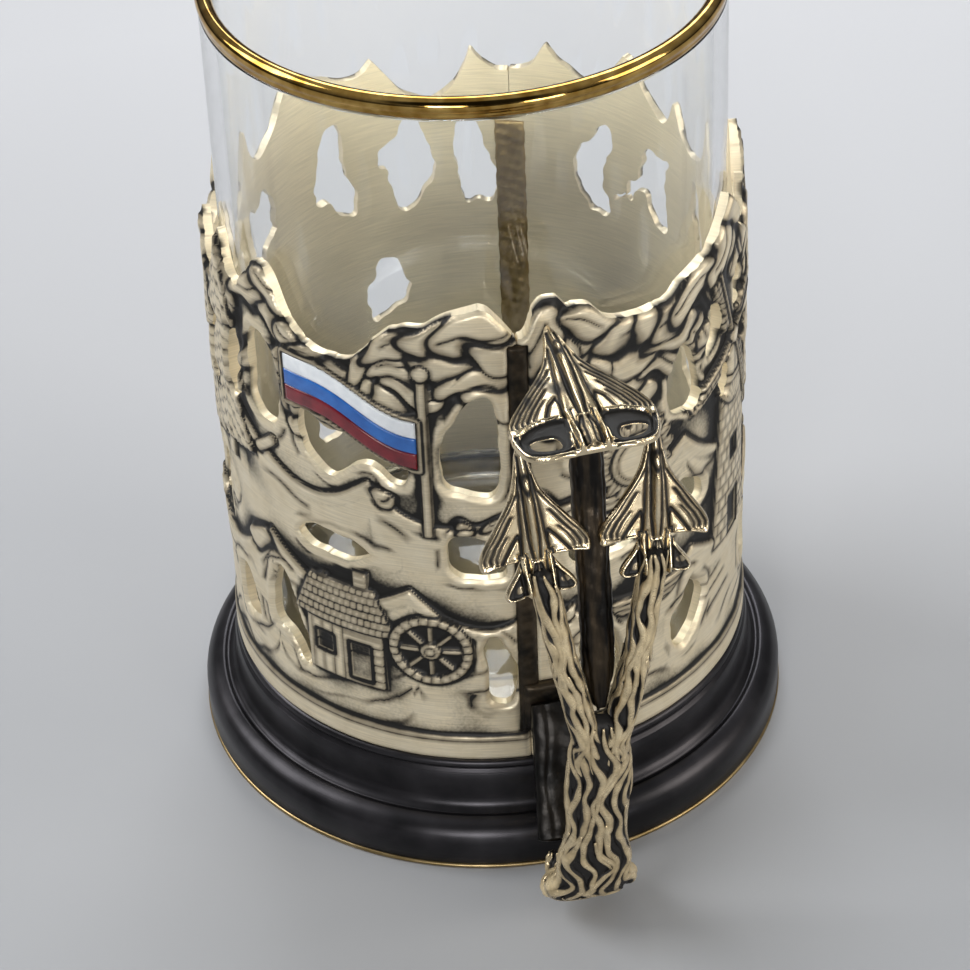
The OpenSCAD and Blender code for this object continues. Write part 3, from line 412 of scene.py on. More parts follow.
# the dark room in front of the table, which shiny metal mirrors as black bands
toRoom = addNode(tree, "ShaderNodeVectorMath",
                 {"operation": "DOT_PRODUCT", 0: where["Generated"], 1: (0.777, -0.179, 0.603)})
room = addNode(tree, "ShaderNodeMapRange",
               {"interpolation_type": "SMOOTHSTEP", "Value": toRoom, "From Min": 0.8, "From Max": 0.92,
                "To Min": 0.5, "To Max": 0.03})
sky = addNode(tree, "ShaderNodeBackground", {"Color": ramp, "Strength": room})
addNode(tree, "ShaderNodeOutputWorld", {"Surface": sky})

lamps = {
    "leftKey": {"at": (-0.35, -0.75, 0.75), "size": 0.6, "watts": 7.6, "tint": "#FFFFFF"},
    "rightFill": {"at": (0.5, 0.85, 0.45), "size": 0.5, "watts": 4.2, "tint": "#FFF8EE"},
    "backTop": {"at": (-0.8, 0.25, 0.9), "size": 0.6, "watts": 6.0, "tint": "#FAFCFF"},
    "handleStrip": {"at": (0.75, -0.3, 0.25), "size": 0.2, "watts": 2.3, "tint": "#FFFFFF"},
    "lowFront": {"at": (0.8, 0.24, 0.09), "size": 0.22, "watts": 1.9, "tint": "#FFFFFF"},
}
for name, lamp in lamps.items():
    light = bpy.data.lights.new(name, "AREA")
    light.shape, light.size, light.energy = "SQUARE", lamp["size"], lamp["watts"]
    light.color = hexColour(lamp["tint"])[:3]
    holder = bpy.data.objects.new(name, light)
    holder.location = lamp["at"]
    holder.rotation_mode = "QUATERNION"
    holder.rotation_quaternion = (Vector((0, 0, 0.05)) - Vector(lamp["at"])).to_track_quat("-Z", "Y")
    scene.collection.objects.link(holder)
print("camera and lights set")

# glass and base, turned

glass = {"radius": 33.3, "wall": 1.9, "seat": 12.0, "height": 103.5, "floor": 5.0, "heel": 3.0, "hollow": 2.0,
         "push": 1.0, "bead": 1.1, "gilt": 2.5, "skin": 0.12, "steps": 192}
innerR = glass["radius"] - glass["wall"]
beadR = innerR + glass["bead"]
rimZ = glass["seat"] + glass["height"]
beadZ = rimZ - glass["bead"]
giltZ = rimZ - glass["gilt"]


# the glass's outside and inside, with room for the gilding's skin over its band
def glassSection(skin):
    low, floorZ, radius = glass["seat"], glass["seat"] + glass["floor"], glass["radius"]
    heel, hollow, push = glass["heel"], glass["hollow"], glass["push"]
    rows = [(0.0, low + push), (8.0, low + push), (20.0, low + push * 0.86)]
    rows += [(innerR - heel + 0.6, low + 0.18), (innerR - heel + 1.4, low)]
    rows += arcPoints(radius - heel, low + heel, heel, -90, 0, 10)
    rows += [(radius, z) for z in np.linspace(low + heel + 2, giltZ - 0.4, 24)]
    rows += [(radius, giltZ), (radius - skin, giltZ + 0.01), (radius - skin, beadZ - 0.9)]
    rows += arcPoints(beadR, beadZ, glass["bead"] - skin, -38, 180, 22)
    rows += [(innerR + skin, giltZ + 0.01), (innerR, giltZ)]
    rows += [(innerR, z) for z in np.linspace(giltZ - 0.4, floorZ + hollow, 24)]
    rows += arcPoints(innerR - hollow, floorZ + hollow, hollow, 0, -90, 8)[1:]
    return rows + [(20.0, floorZ - 0.1), (8.0, floorZ - 0.2), (0.0, floorZ - 0.22)]


points, faces = turned(glassSection(glass["skin"]), glass["steps"], closed=False)
makePiece("glass_tumbler_clear", points, faces, "glass", ["glass_tumbler"], glassMaterial)

band = [(glass["radius"], giltZ)] + [(glass["radius"], z) for z in np.linspace(giltZ + 0.3, beadZ - 0.95, 3)]
band += arcPoints(beadR, beadZ, glass["bead"], -38, 180, 26) + [(innerR, giltZ)]
band += [(innerR + glass["skin"], giltZ)]
band += arcPoints(beadR, beadZ, glass["bead"] - glass["skin"], 180, -38, 26)
band += [(glass["radius"] - glass["skin"], beadZ - 0.9), (glass["radius"] - glass["skin"], giltZ)]
points, faces = turned(band, glass["steps"])
makePiece("rim_gilding_band", points, faces, "glass", ["rim_gilding"], goldMaterial)

base = {"foot": 41.25, "plate": 0.7, "lip": 3.4, "round": 3.2, "height": 14.8, "step": 1.7, "top": 36.15,
        "wall": 1.2, "seatR": 34.1, "seat": 12.0, "seatT": 1.2, "ledge": 3.0, "steps": 240}
foot, seatR, wall, low = base["foot"], base["seatR"], base["wall"], base["plate"]
lipTop = low + base["lip"]
roundTop = lipTop + base["round"]
ovoloR = foot - base["round"]
stepZ = base["height"] - base["step"]
ledgeZ = base["seat"] - base["seatT"]
profile = [(foot - 0.15, low), (foot, low + 0.2), (foot, lipTop - 0.2)]
profile += arcPoints(ovoloR, lipTop, base["round"], 0, 82, 14)
profile += [(ovoloR + 0.2, roundTop - 0.25), (ovoloR - 0.15, roundTop - 0.45)]  # the fine line over the lip
profile += catmull([(ovoloR - 0.3, roundTop - 0.3), (ovoloR - 1.25, roundTop + 0.95),
                    (base["top"] + 0.45, stepZ - 1.5), (base["top"] + 0.22, stepZ - 0.35)], 7).tolist()
profile += [(base["top"] - 0.12, stepZ - 0.2), (base["top"] - 0.12, stepZ)]
profile += arcPoints(base["top"] - 0.75, base["height"] - base["step"] / 2 + 0.02, 0.8, -70, 84, 12)
profile += [(seatR + 0.15, base["height"]), (seatR, base["height"] - 0.1), (seatR, ledgeZ)]
profile += [(seatR - base["ledge"], ledgeZ), (seatR - base["ledge"], ledgeZ - wall), (seatR, ledgeZ - wall)]
profile += [(seatR, low), (seatR + wall, low), (seatR + wall, stepZ - wall)]
profile += [(ovoloR - 1.6, roundTop - wall), (ovoloR, roundTop - wall)]
profile += arcPoints(ovoloR, lipTop, base["round"] - wall, 70, 0, 6)[1:] + [(foot - wall, low)]
points, faces = turned(profile, base["steps"])
# the map runs round the ring in mm and along the section in mm
lengths = np.concatenate([[0], np.cumsum(np.hypot(*np.diff(np.array(profile), axis=0).T))])
around = [k * 2 * math.pi / base["steps"] * foot for k in range(base["steps"])]
ringUv = np.array([(a, s) for s in lengths for a in around])
makePiece("base_ring_spun", points, faces, "holder", ["base_ring"], baseMaterial, uv=ringUv)

disc = {"radius": 34.0, "bevel": 0.2, "groove": 16.4, "grooveDeep": 0.3, "steps": 128}
rimR, seatZ = disc["radius"] - disc["bevel"], base["seat"]
grooveR, grooveZ = disc["groove"], seatZ - disc["grooveDeep"]
section = [(0, ledgeZ), (rimR, ledgeZ), (disc["radius"], ledgeZ + disc["bevel"]),
           (disc["radius"], seatZ - 0.25), (rimR, seatZ)]
section += [(r, seatZ - 0.04 * math.sin(r * 2.1) ** 2)
            for r in np.linspace(disc["radius"] - 1.5, grooveR + 1.0, 20)]
section += [(grooveR + 0.5, grooveZ), (grooveR, grooveZ), (grooveR - 0.5, seatZ), (0, seatZ)]
points, faces = turned(section, disc["steps"], closed=False)
makePiece("seat_disc_turned", points, faces, "holder", ["seat_disc"], seatMaterial)

# the plate rests on its outer ring and is hollowed a little inside it
plate = {"radius": 41.05, "round": 0.35, "inside": 35.2, "hollow": 0.15, "top": 0.7, "steps": 240}
section = [(0, plate["hollow"]), (plate["inside"], plate["hollow"]), (plate["inside"] + 1.0, 0.0),
           (plate["radius"] - 0.1, 0.0)]
section += arcPoints(plate["radius"], plate["round"], plate["round"], -90, 90, 8)
section += [(39.2, plate["top"]), (0, plate["top"])]
points, faces = turned(section, plate["steps"], closed=False)
makePiece("bottom_plate_turned", points, faces, "holder", ["bottom_plate"], plateMaterial)
print("glass and base turned")

# The relief sleeve: heights and cut lines are drawn on its unrolled face (u round it, v up it, both in mm)
sleeve = {"inner": 34.1, "wall": 35.4, "foot": 14.8, "height": 75.2, "band": 4.2, "bandHigh": 0.72,
          "front": -5.5, "rear": 157.0, "seam": 0.05, "cell": 0.315,
          "barWide": 1.36, "barFoot": 4.6, "barTop": 67.0, "padWide": 4.16, "padFoot": 5.4, "padTop": 12.86}
perDegree = math.pi * sleeve["wall"] / 180
leftValleys = [
    [[-13, 0.962], [-11, 0.955], [-8, 0.925], [-5.5, 0.9], [-3, 0.92], [0, 0.97]],
    [[-64, 0.97], [-60, 0.94], [-56, 0.875], [-51, 0.84], [-46, 0.832], [-40, 0.85], [-35, 0.885],
     [-30, 0.92], [-24, 0.935], [-18, 0.95], [-13, 0.962]],
    [[-80, 0.97], [-77, 0.89], [-72, 0.88], [-68, 0.93], [-64, 0.97]],
    [[-97, 0.93], [-93, 0.86], [-89, 0.83], [-85, 0.87], [-80, 0.97]],
    [[-121, 0.96], [-117, 0.88], [-110, 0.84], [-103, 0.86], [-97, 0.93]],
    [[-145, 0.98], [-139, 0.92], [-132, 0.87], [-125, 0.89], [-121, 0.96]],
    [[-170, 0.93], [-166, 0.91], [-159, 0.92], [-152, 0.945], [-145, 0.98]],
    [[-194, 0.93], [-190, 0.86], [-184, 0.83], [-178, 0.85], [-170, 0.93]],
    [[-207, 0.93], [-203, 0.89], [-199, 0.89], [-194, 0.93]]]
rightValleys = [
    [[-11, 0.96], [-8, 0.92], [-5.5, 0.9], [-3.5, 0.91], [-1, 0.966], [3, 0.97]],
    [[3, 0.97], [6, 0.945], [10, 0.935], [14, 0.9], [20, 0.885], [27, 0.882], [35, 0.9], [44, 0.915],
     [49, 0.94], [54, 0.98]],
    [[54, 0.98], [59, 0.93], [63, 0.87], [68, 0.87], [73, 0.94]],
    [[73, 0.94], [76, 0.88], [79, 0.88], [84, 0.99]],
    [[84, 0.99], [88, 0.9], [95, 0.86], [102, 0.87], [107, 0.93]],
    [[107, 0.93], [111, 0.875], [116, 0.89], [122, 0.94], [127, 0.965]],
    [[127, 0.965], [132, 0.91], [138, 0.885], [144, 0.91], [148, 0.945]],
    [[148, 0.945], [152, 0.9], [157, 0.89], [162, 0.91]]]
leftFar = [
    [[-38, 0.6], [-30, 0.54], [-20, 0.52], [-9, 0.54], [2, 0.6]],
    [[-74, 0.62], [-66, 0.58], [-56, 0.545], [-47, 0.55], [-38, 0.6]],
    [[-108, 0.6], [-100, 0.54], [-91, 0.52], [-82, 0.55], [-74, 0.62]],
    [[-143, 0.61], [-135, 0.57], [-125, 0.55], [-116, 0.56], [-108, 0.6]],
    [[-176, 0.6], [-168, 0.55], [-160, 0.54], [-152, 0.57], [-143, 0.61]],
    [[-208, 0.56], [-200, 0.53], [-192, 0.53], [-184, 0.55], [-176, 0.6]]]
leftNear = [
    [[-30, 0.38], [-22, 0.32], [-13, 0.3], [-5, 0.33], [2, 0.39]],
    [[-66, 0.4], [-58, 0.36], [-48, 0.33], [-39, 0.34], [-30, 0.38]],
    [[-100, 0.36], [-92, 0.31], [-83, 0.3], [-74, 0.34], [-66, 0.4]],
    [[-138, 0.39], [-128, 0.35], [-118, 0.31], [-108, 0.31], [-100, 0.36]],
    [[-172, 0.36], [-163, 0.31], [-155, 0.31], [-147, 0.34], [-138, 0.39]],
    [[-208, 0.38], [-199, 0.33], [-190, 0.3], [-181, 0.31], [-172, 0.36]]]
rightFar = [
    [[-9, 0.61], [0, 0.55], [10, 0.53], [22, 0.54], [34, 0.59]],
    [[34, 0.59], [42, 0.53], [53, 0.5], [63, 0.53], [71, 0.6]],
    [[71, 0.6], [80, 0.56], [90, 0.54], [100, 0.56], [108, 0.61]],
    [[108, 0.61], [116, 0.56], [126, 0.53], [136, 0.54], [145, 0.59]],
    [[145, 0.59], [150, 0.56], [156, 0.54], [162, 0.54]]]
rightNear = [
    [[-9, 0.4], [2, 0.33], [13, 0.29], [25, 0.29], [36, 0.34]],
    [[36, 0.34], [44, 0.31], [54, 0.31], [64, 0.34], [72, 0.4]],
    [[72, 0.4], [82, 0.35], [92, 0.32], [102, 0.32], [110, 0.36]],
    [[110, 0.36], [120, 0.31], [130, 0.29], [140, 0.31], [149, 0.37]],
    [[149, 0.37], [153, 0.34], [158, 0.32], [163, 0.32]]]
leftWindows = [
    [[-22, 0.62], [-21.5, 0.71], [-17, 0.77], [-12, 0.79], [-9.5, 0.72], [-10, 0.64], [-13, 0.59],
     [-18, 0.58]],
    [[-53, 0.61], [-45, 0.6], [-37, 0.63], [-30, 0.6], [-29.5, 0.66], [-37, 0.665], [-45, 0.69], [-53, 0.71]],
    [[-71, 0.66], [-62, 0.64], [-60, 0.72], [-61, 0.8], [-65, 0.83], [-70, 0.76]],
    [[-58, 0.43], [-51, 0.46], [-42, 0.455], [-36, 0.43], [-42, 0.415], [-50, 0.41]],
    [[-68, 0.19], [-61, 0.16], [-57.5, 0.14], [-58, 0.24], [-62, 0.32], [-66, 0.31]],
    [[-22, 0.43], [-17, 0.41], [-9.5, 0.41], [-9.5, 0.47], [-15, 0.49], [-21, 0.49]],
    [[-15, 0.14], [-9.5, 0.13], [-9.5, 0.24], [-12, 0.28], [-15, 0.24]],
    [[-88, 0.62], [-85, 0.66], [-84.5, 0.76], [-87, 0.79], [-89, 0.72]],
    [[-77.5, 0.66], [-75, 0.66], [-74, 0.76], [-77, 0.82]],
    [[-97, 0.34], [-89, 0.33], [-86, 0.4], [-88, 0.47], [-95, 0.48]],
    [[-83, 0.14], [-76, 0.14], [-75, 0.2], [-79, 0.26], [-84, 0.21]],
    [[-113, 0.63], [-107, 0.65], [-104, 0.71], [-106, 0.78], [-111, 0.79], [-114, 0.71]],
    [[-135, 0.66], [-129, 0.68], [-123, 0.66], [-121, 0.74], [-125, 0.79], [-133, 0.78]],
    [[-160, 0.64], [-154, 0.65], [-150, 0.7], [-152, 0.79], [-158, 0.82], [-161, 0.74]],
    [[-182, 0.62], [-175, 0.63], [-171, 0.68], [-173, 0.76], [-180, 0.79], [-184, 0.7]],
    [[-198, 0.62], [-192, 0.61], [-189, 0.68], [-190, 0.74], [-195, 0.77], [-199, 0.72]],
    [[-130, 0.21], [-122, 0.17], [-118, 0.24], [-120, 0.3], [-125, 0.32], [-130, 0.29]],
    [[-113, 0.4], [-107, 0.38], [-103, 0.43], [-105, 0.49], [-112, 0.49]],
    [[-156, 0.16], [-147, 0.15], [-143, 0.22], [-148, 0.28], [-155, 0.26]],
    [[-176, 0.4], [-168, 0.39], [-164, 0.43], [-167, 0.49], [-175, 0.5]],
    [[-197, 0.17], [-189, 0.16], [-186, 0.22], [-190, 0.27], [-196, 0.26]]]
rightWindows = [
    [[5.5, 0.64], [8, 0.66], [10.5, 0.72], [12, 0.79], [9, 0.82], [6, 0.8]],
    [[30, 0.64], [35, 0.63], [39, 0.67], [38, 0.74], [33, 0.78], [29.5, 0.72]],
    [[43, 0.71], [46.5, 0.72], [48, 0.76], [46, 0.8], [43.5, 0.78]],
    [[56.5, 0.75], [61, 0.77], [61, 0.82], [57, 0.82]],
    [[47, 0.6], [50, 0.6], [51, 0.64], [48, 0.67], [46, 0.64]],
    [[61, 0.64], [65, 0.62], [67, 0.66], [66, 0.69], [62, 0.69]],
    [[6, 0.41], [14, 0.41], [20, 0.43], [19, 0.48], [12, 0.49], [6, 0.48]],
    [[27, 0.4], [36, 0.41], [41, 0.43], [38, 0.48], [30, 0.47]],
    [[7, 0.13], [14, 0.14], [15, 0.2], [12, 0.26], [7, 0.25]],
    [[31, 0.13], [38, 0.15], [40, 0.21], [36, 0.27], [32, 0.22]],
    [[63, 0.14], [70, 0.14], [72, 0.22], [68, 0.3], [64, 0.24]],
    [[64, 0.41], [69, 0.43], [70, 0.49], [67, 0.52], [64, 0.48]],
    [[78, 0.64], [80.5, 0.68], [80.5, 0.76], [77.5, 0.78], [76.5, 0.7]],
    [[88, 0.62], [93, 0.62], [96, 0.7], [93, 0.79], [90, 0.74]],
    [[111, 0.66], [117, 0.64], [121, 0.69], [120, 0.77], [115, 0.81], [111, 0.75]],
    [[130, 0.62], [136, 0.62], [139, 0.69], [137, 0.76], [132, 0.79], [129, 0.71]],
    [[92, 0.38], [100, 0.37], [104, 0.42], [101, 0.48], [94, 0.48]],
    [[121, 0.17], [129, 0.15], [134, 0.21], [131, 0.26], [124, 0.26]]]
# kind, angle, share of the height, size share, raise in mm
leftMotifs = [
    ["fir", -80, 0.5, 0.45, 0.95], ["fir", -92, 0.48, 0.37, 0.8], ["fir", -101, 0.5, 0.28, 0.7],
    ["pole", -25, 0.5, 0.34, 0.75], ["mill", -46, 0.14, 0.22, 0.9], ["wheel", -26, 0.25, 0.15, 0.98],
    ["crown", -147, 0.5, 0.19, 0.8], ["crown", -166, 0.4, 0.15, 0.7], ["fir", -187, 0.42, 0.36, 0.8],
    ["crown", -120, 0.5, 0.14, 0.85]]
rightMotifs = [
    ["tower", 54, 0.28, 0.4, 0.78], ["sails", 54, 0.7, 0.18, 0.95], ["fir", 84, 0.48, 0.47, 0.92],
    ["fir", 73, 0.46, 0.42, 0.72], ["sun", 20, 0.6, 0.085, 0.75], ["crown", 103, 0.54, 0.15, 0.8],
    ["crown", 145, 0.5, 0.15, 0.85], ["boat", 22, 0.27, 0.17, 0.9]]
flag = {"turn": -41.5, "long": 18.6, "stripe": 2.4, "wave": 0.9, "top": 0.785, "fall": 0.075, "high": 0.7,
        "frame": 0.75}


def smooth(x):
    x = np.clip(x, 0.0, 1.0)
    return x * x * (3 - 2 * x)


def wobble(u, v, size, seed):
    rng = np.random.default_rng(seed)
    out = 0
    for k in range(4):
        turn, shift = rng.uniform(0, 2 * math.pi, 2)
        out = out + np.sin((u * math.cos(turn) + v * math.sin(turn)) * 2 * math.pi / size
                           * rng.uniform(0.7, 1.4) + shift)
    return out / 2.6


def blur(field, reach):
    for axis in (0, 1, 0, 1):
        padded = np.pad(field, [(reach + 1, reach) if a == axis else (0, 0) for a in (0, 1)], mode="edge")
        total = np.cumsum(padded, axis=axis)
        span = 2 * reach + 1
        field = (np.take(total, range(span, total.shape[axis]), axis)
                 - np.take(total, range(0, total.shape[axis] - span), axis)) / span
    return field


# signed distance to a closed outline, negative inside
def outlineDist(u, v, outline):
    outline = np.asarray(outline, float)
    best = np.full(u.shape, 1e9)
    inside = np.zeros(u.shape, bool)
    for a, b in zip(np.roll(outline, 1, axis=0), outline):
        run = b - a
        t = np.clip(((u - a[0]) * run[0] + (v - a[1]) * run[1]) / max(run @ run, 1e-9), 0, 1)
        best = np.minimum(best, (u - a[0] - run[0] * t) ** 2 + (v - a[1] - run[1] * t) ** 2)
        if abs(run[1]) > 1e-9:
            inside ^= ((a[1] > v) != (b[1] > v)) & (u < run[0] * (v - a[1]) / run[1] + a[0])
    return np.sqrt(best) * np.where(inside, -1, 1)


def strokeDist(u, v, line):
    best = np.full(u.shape, 1e9)
    for a, b in zip(line[:-1], line[1:]):
        rx, ry = b[0] - a[0], b[1] - a[1]
        t = np.clip(((u - a[0]) * rx + (v - a[1]) * ry) / max(rx * rx + ry * ry, 1e-9), 0, 1)
        best = np.minimum(best, np.hypot(u - a[0] - rx * t, v - a[1] - ry * t))
    return best


def boxDist(u, v, cu, cv, halfU, halfV):
    du, dv = np.abs(u - cu) - halfU, np.abs(v - cv) - halfV
    return np.hypot(np.maximum(du, 0), np.maximum(dv, 0)) + np.minimum(np.maximum(du, dv), 0)


# height of the lowest smooth line over each place of u
def lowestLine(lines, us):
    low = np.full(len(us), 99.0)
    for line in lines:
        pts = np.array([(turn * perDegree, share * sleeve["height"]) for turn, share in line])
        pts = np.vstack([pts[0] + (pts[0] - pts[1]) * 0.5, pts, pts[-1] + (pts[-1] - pts[-2]) * 0.5])
        curve = catmull(pts, 8)
        low = np.minimum(low, np.interp(us, np.maximum.accumulate(curve[:, 0]), curve[:, 1], left=99.0,
                                        right=99.0))
    return low


def newSheet(us, vs):
    u, v = np.meshgrid(us, vs)
    return {"us": us, "vs": vs, "u": u, "v": v, "high": np.zeros(u.shape), "edge": np.full(u.shape, 9.0)}


everywhere = (slice(None), slice(None))


def patch(sheet, lowU, highU, lowV, highV, margin=2.0):
    i0, i1 = np.searchsorted(sheet["us"], [lowU - margin, highU + margin])
    j0, j1 = np.searchsorted(sheet["vs"], [lowV - margin, highV + margin])
    part = (slice(j0, j1), slice(i0, i1))
    return part, sheet["u"][part], sheet["v"][part]


# lays a raised form over what is there, with a cut line round its foot unless line is None
def lay(sheet, part, dist, top, bevel=0.4, dig=0.1, line=0.08):
    high, edge = sheet["high"][part], sheet["edge"][part]
    rise = smooth(0.5 - dist / bevel)
    high[:] = high * (1 - rise) + top * rise - dig * np.exp(-((dist - 0.25) / 0.25) ** 2)
    if line is None:
        edge[:] = np.where(dist < 0, 9.0, edge)
    else:
        edge[:] = np.where(dist < 0, np.abs(dist - line), np.minimum(edge, np.abs(dist - line)))


# a black groove of a given width along dist = 0, where within is negative
def cut(sheet, part, dist, wide, depth=0.3, within=None):
    away = np.abs(dist) - wide / 2
    if within is not None:
        away = np.maximum(away, within)
    sheet["high"][part] -= depth * smooth(0.5 - away / 0.18)
    sheet["edge"][part] = np.minimum(sheet["edge"][part], np.maximum(away, -0.15) + 0.2)


# engraves a line where dist is small, inside a region
def engrave(sheet, part, dist, within=None, width=0.2, depth=0.1, thin=0.08):
    near = np.abs(dist)
    if within is not None:
        near = np.maximum(near, within * 1.5 + 0.1)
    sheet["high"][part] -= depth * np.exp(-(near / width) ** 2)
    sheet["edge"][part] = np.minimum(sheet["edge"][part], near + thin)


def strip(value, period):
    return np.abs((value + period / 2) % period - period / 2)


def drawFir(sheet, cu, cv, size, high, seed):
    part, u, v = patch(sheet, cu - size * 0.25, cu + size * 0.25, cv, cv + size)
    x, y = u - cu, v - cv
    ragged = 0.25 * np.sin(x * 5.3 + seed) + 0.18 * np.sin(y * 4.1 + seed)
    lay(sheet, part, boxDist(x, y, 0, size * 0.1, size * 0.028, size * 0.12), high * 0.7)
    for k in range(3):
        half, low = size * (0.2 - 0.045 * k), size * (0.1 + 0.27 * k)
        tier = [(-half, low), (0, low - size * 0.03), (half, low), (0, low + size * 0.36)]
        dist = outlineDist(x, y, tier) + ragged * 0.5
        tall = np.clip((y - low) / (size * 0.36), 0, 1)
        lay(sheet, part, dist, high * (0.82 + 0.18 * k / 2) - 0.28 * tall + 0.1 * np.exp(-(x / 0.5) ** 2))
        # boughs hang in curved lines from the middle
        engrave(sheet, part, strip(y + np.abs(x) * 0.75 + ragged, size * 0.062), dist + 0.35, 0.2, 0.09, 0.13)


def drawCrown(sheet, cu, cv, size, high, seed):
    rng = np.random.default_rng(seed)
    part, u, v = patch(sheet, cu - size, cu + size, cv - size, cv + size * 1.4)
    x, y = u - cu, v - cv
    lay(sheet, part, boxDist(x, y, 0, 0, size * 0.09, size * 0.5), high * 0.75)
    engrave(sheet, part, x - 0.2 * np.sin(y), boxDist(x, y, 0, 0, size * 0.09, size * 0.5), 0.15, 0.06, 0.12)
    # tufts of leaves of many sizes, the upper ones in front
    spots = [(math.cos(t) * size * rng.uniform(0.12, 0.4),
              size * 0.62 + math.sin(t) * size * rng.uniform(0.12, 0.4)) for t in rng.uniform(0, 6.28, 15)]
    warpU, warpV = x + 0.3 * wobble(x, y, 3.4, seed), y + 0.3 * wobble(x, y, 3.0, seed + 9)
    for k, (sx, sy) in enumerate(sorted(spots, key=lambda p: -abs(p[1] - size * 0.62))):
        r = size * rng.uniform(0.14, 0.25)
        rho = np.hypot(warpU - sx, (warpV - sy) * 1.2)
        lay(sheet, part, rho - r, high * 0.82 + 0.22 * np.sqrt(np.clip(1 - (rho / r) ** 2, 0, 1)), 0.4, 0.12)
        engrave(sheet, part, rho - r * 0.5,
                np.maximum(rho - r * 0.8, (sy - y) - (x - sx) * rng.choice([-1, 1])), 0.2, 0.1, 0.1)


def drawPole(sheet, cu, cv, size, high, seed):
    part, u, v = patch(sheet, cu - 2, cu + 2, cv, cv + size * 1.05)
    lay(sheet, part, boxDist(u, v, cu, cv + size / 2, size * 0.024, size / 2),
        high + 0.1 * np.sqrt(np.clip(1 - ((u - cu) / 0.65) ** 2, 0, 1)) - 0.1)
    lay(sheet, part, np.hypot(u - cu, v - cv - size) - size * 0.045, high)


def drawMill(sheet, cu, cv, size, high, seed):
    part, u, v = patch(sheet, cu - size * 0.5, cu + size * 0.5, cv, cv + size * 1.2)
    x, y = u - cu, v - cv
    chimney = boxDist(x, y, size * 0.185, size * 0.98, size * 0.065, size * 0.18)
    lay(sheet, part, chimney, high * 0.8)
    engrave(sheet, part, strip(y, size * 0.06), chimney + 0.1, 0.12, 0.05, 0.13)
    wall = boxDist(x, y, 0, size * 0.3, size * 0.36, size * 0.3)
    lay(sheet, part, wall, high * 0.86 + 0.03 * wobble(x, y, 4, seed))
    engrave(sheet, part, strip(y, size * 0.085), np.maximum(wall + 0.3, -(x - size * 0.02)), 0.14, 0.06, 0.12)
    engrave(sheet, part, strip(x, size * 0.1), np.maximum(wall + 0.3, x), 0.14, 0.06, 0.12)
    for hole in (boxDist(x, y, -size * 0.18, size * 0.33, size * 0.08, size * 0.09),
                 boxDist(x, y, size * 0.15, size * 0.24, size * 0.09, size * 0.18)):
        lay(sheet, part, hole - 0.25, high * 0.98, 0.3)
        lay(sheet, part, hole, high * 0.5, 0.25, 0.0)
        engrave(sheet, part, np.minimum(np.abs(x + size * 0.18), np.abs(y - size * 0.33)), hole + 0.1,
                0.15, 0.06, 0.1)
    roof = outlineDist(x, y, [(-size * 0.48, size * 0.56), (size * 0.48, size * 0.56), (size * 0.3, size),
                              (-size * 0.3, size)])
    lay(sheet, part, roof, high + 0.02 - 0.15 * np.clip((y - size * 0.56) / size / 0.44, 0, 1))
    row = np.floor((y - size * 0.56) / (size * 0.075))
    engrave(sheet, part, strip(y - size * 0.56, size * 0.075), roof + 0.25, 0.14, 0.07, 0.1)
    engrave(sheet, part, strip(x + (row % 2) * size * 0.03, size * 0.06), roof + 0.25, 0.12, 0.05, 0.14)


def drawWheel(sheet, cu, cv, size, high, seed):
    part, u, v = patch(sheet, cu - size * 0.55, cu + size * 0.55, cv - size * 0.55, cv + size * 0.55)
    x, y = u - cu, v - cv
    rho, turn = np.hypot(x, y), np.arctan2(y, x)
    lay(sheet, part, rho - size * 0.5, 0.3, 0.4)
    for k in range(4):
        c, s = math.cos(k * math.pi / 4), math.sin(k * math.pi / 4)
        lay(sheet, part, np.maximum(np.abs(x * s - y * c) - size * 0.032, rho - size * 0.42), high * 0.8,
            0.25, 0.05)
    band = np.abs(rho - size * 0.44) - size * 0.06
    lay(sheet, part, band, high * 0.9)
    engrave(sheet, part, strip(turn, math.pi / 12) * rho, band + 0.1, 0.14, 0.08, 0.08)
    lay(sheet, part, rho - size * 0.12, high)
    engrave(sheet, part, rho - size * 0.06, None, 0.15, 0.08, 0.08)


def drawTower(sheet, cu, cv, size, high, seed):
    part, u, v = patch(sheet, cu - size * 0.25, cu + size * 0.25, cv, cv + size * 1.05)
    x, y = u - cu, v - cv
    body = outlineDist(x, y, [(-size * 0.2, 0), (size * 0.2, 0), (size * 0.13, size * 0.86),
                              (-size * 0.13, size * 0.86)])
    lay(sheet, part, body, high + 0.06 - 0.25 * (x / (size * 0.2)) ** 2)
    lean = x / (0.2 - 0.07 * np.clip(y / size, 0, 1) / 0.86) / size
    row = np.floor(y / (size * 0.062))
    engrave(sheet, part, strip(y, size * 0.062), body + 0.3, 0.13, 0.05, 0.13)
    engrave(sheet, part, strip(lean + (row % 2) * 0.17, 0.34) * size * 0.17, body + 0.3, 0.12, 0.05, 0.15)
    for hole in (boxDist(x, y, 0, size * 0.1, size * 0.05, size * 0.1),
                 boxDist(x, y, 0, size * 0.46, size * 0.03, size * 0.045)):
        lay(sheet, part, hole - 0.25, high + 0.12, 0.3)
        lay(sheet, part, hole, high * 0.45, 0.25, 0.0)
    cap = np.hypot(x, y - size * 0.86) - size * 0.145
    lay(sheet, part, cap, high + 0.1)
    engrave(sheet, part, strip(np.arctan2(x, y - size * 0.7), 0.28) * size * 0.2, cap + 0.3, 0.14, 0.06, 0.12)
    lay(sheet, part, boxDist(x, y, 0, size * 0.84, size * 0.16, size * 0.016), high + 0.15, 0.3)


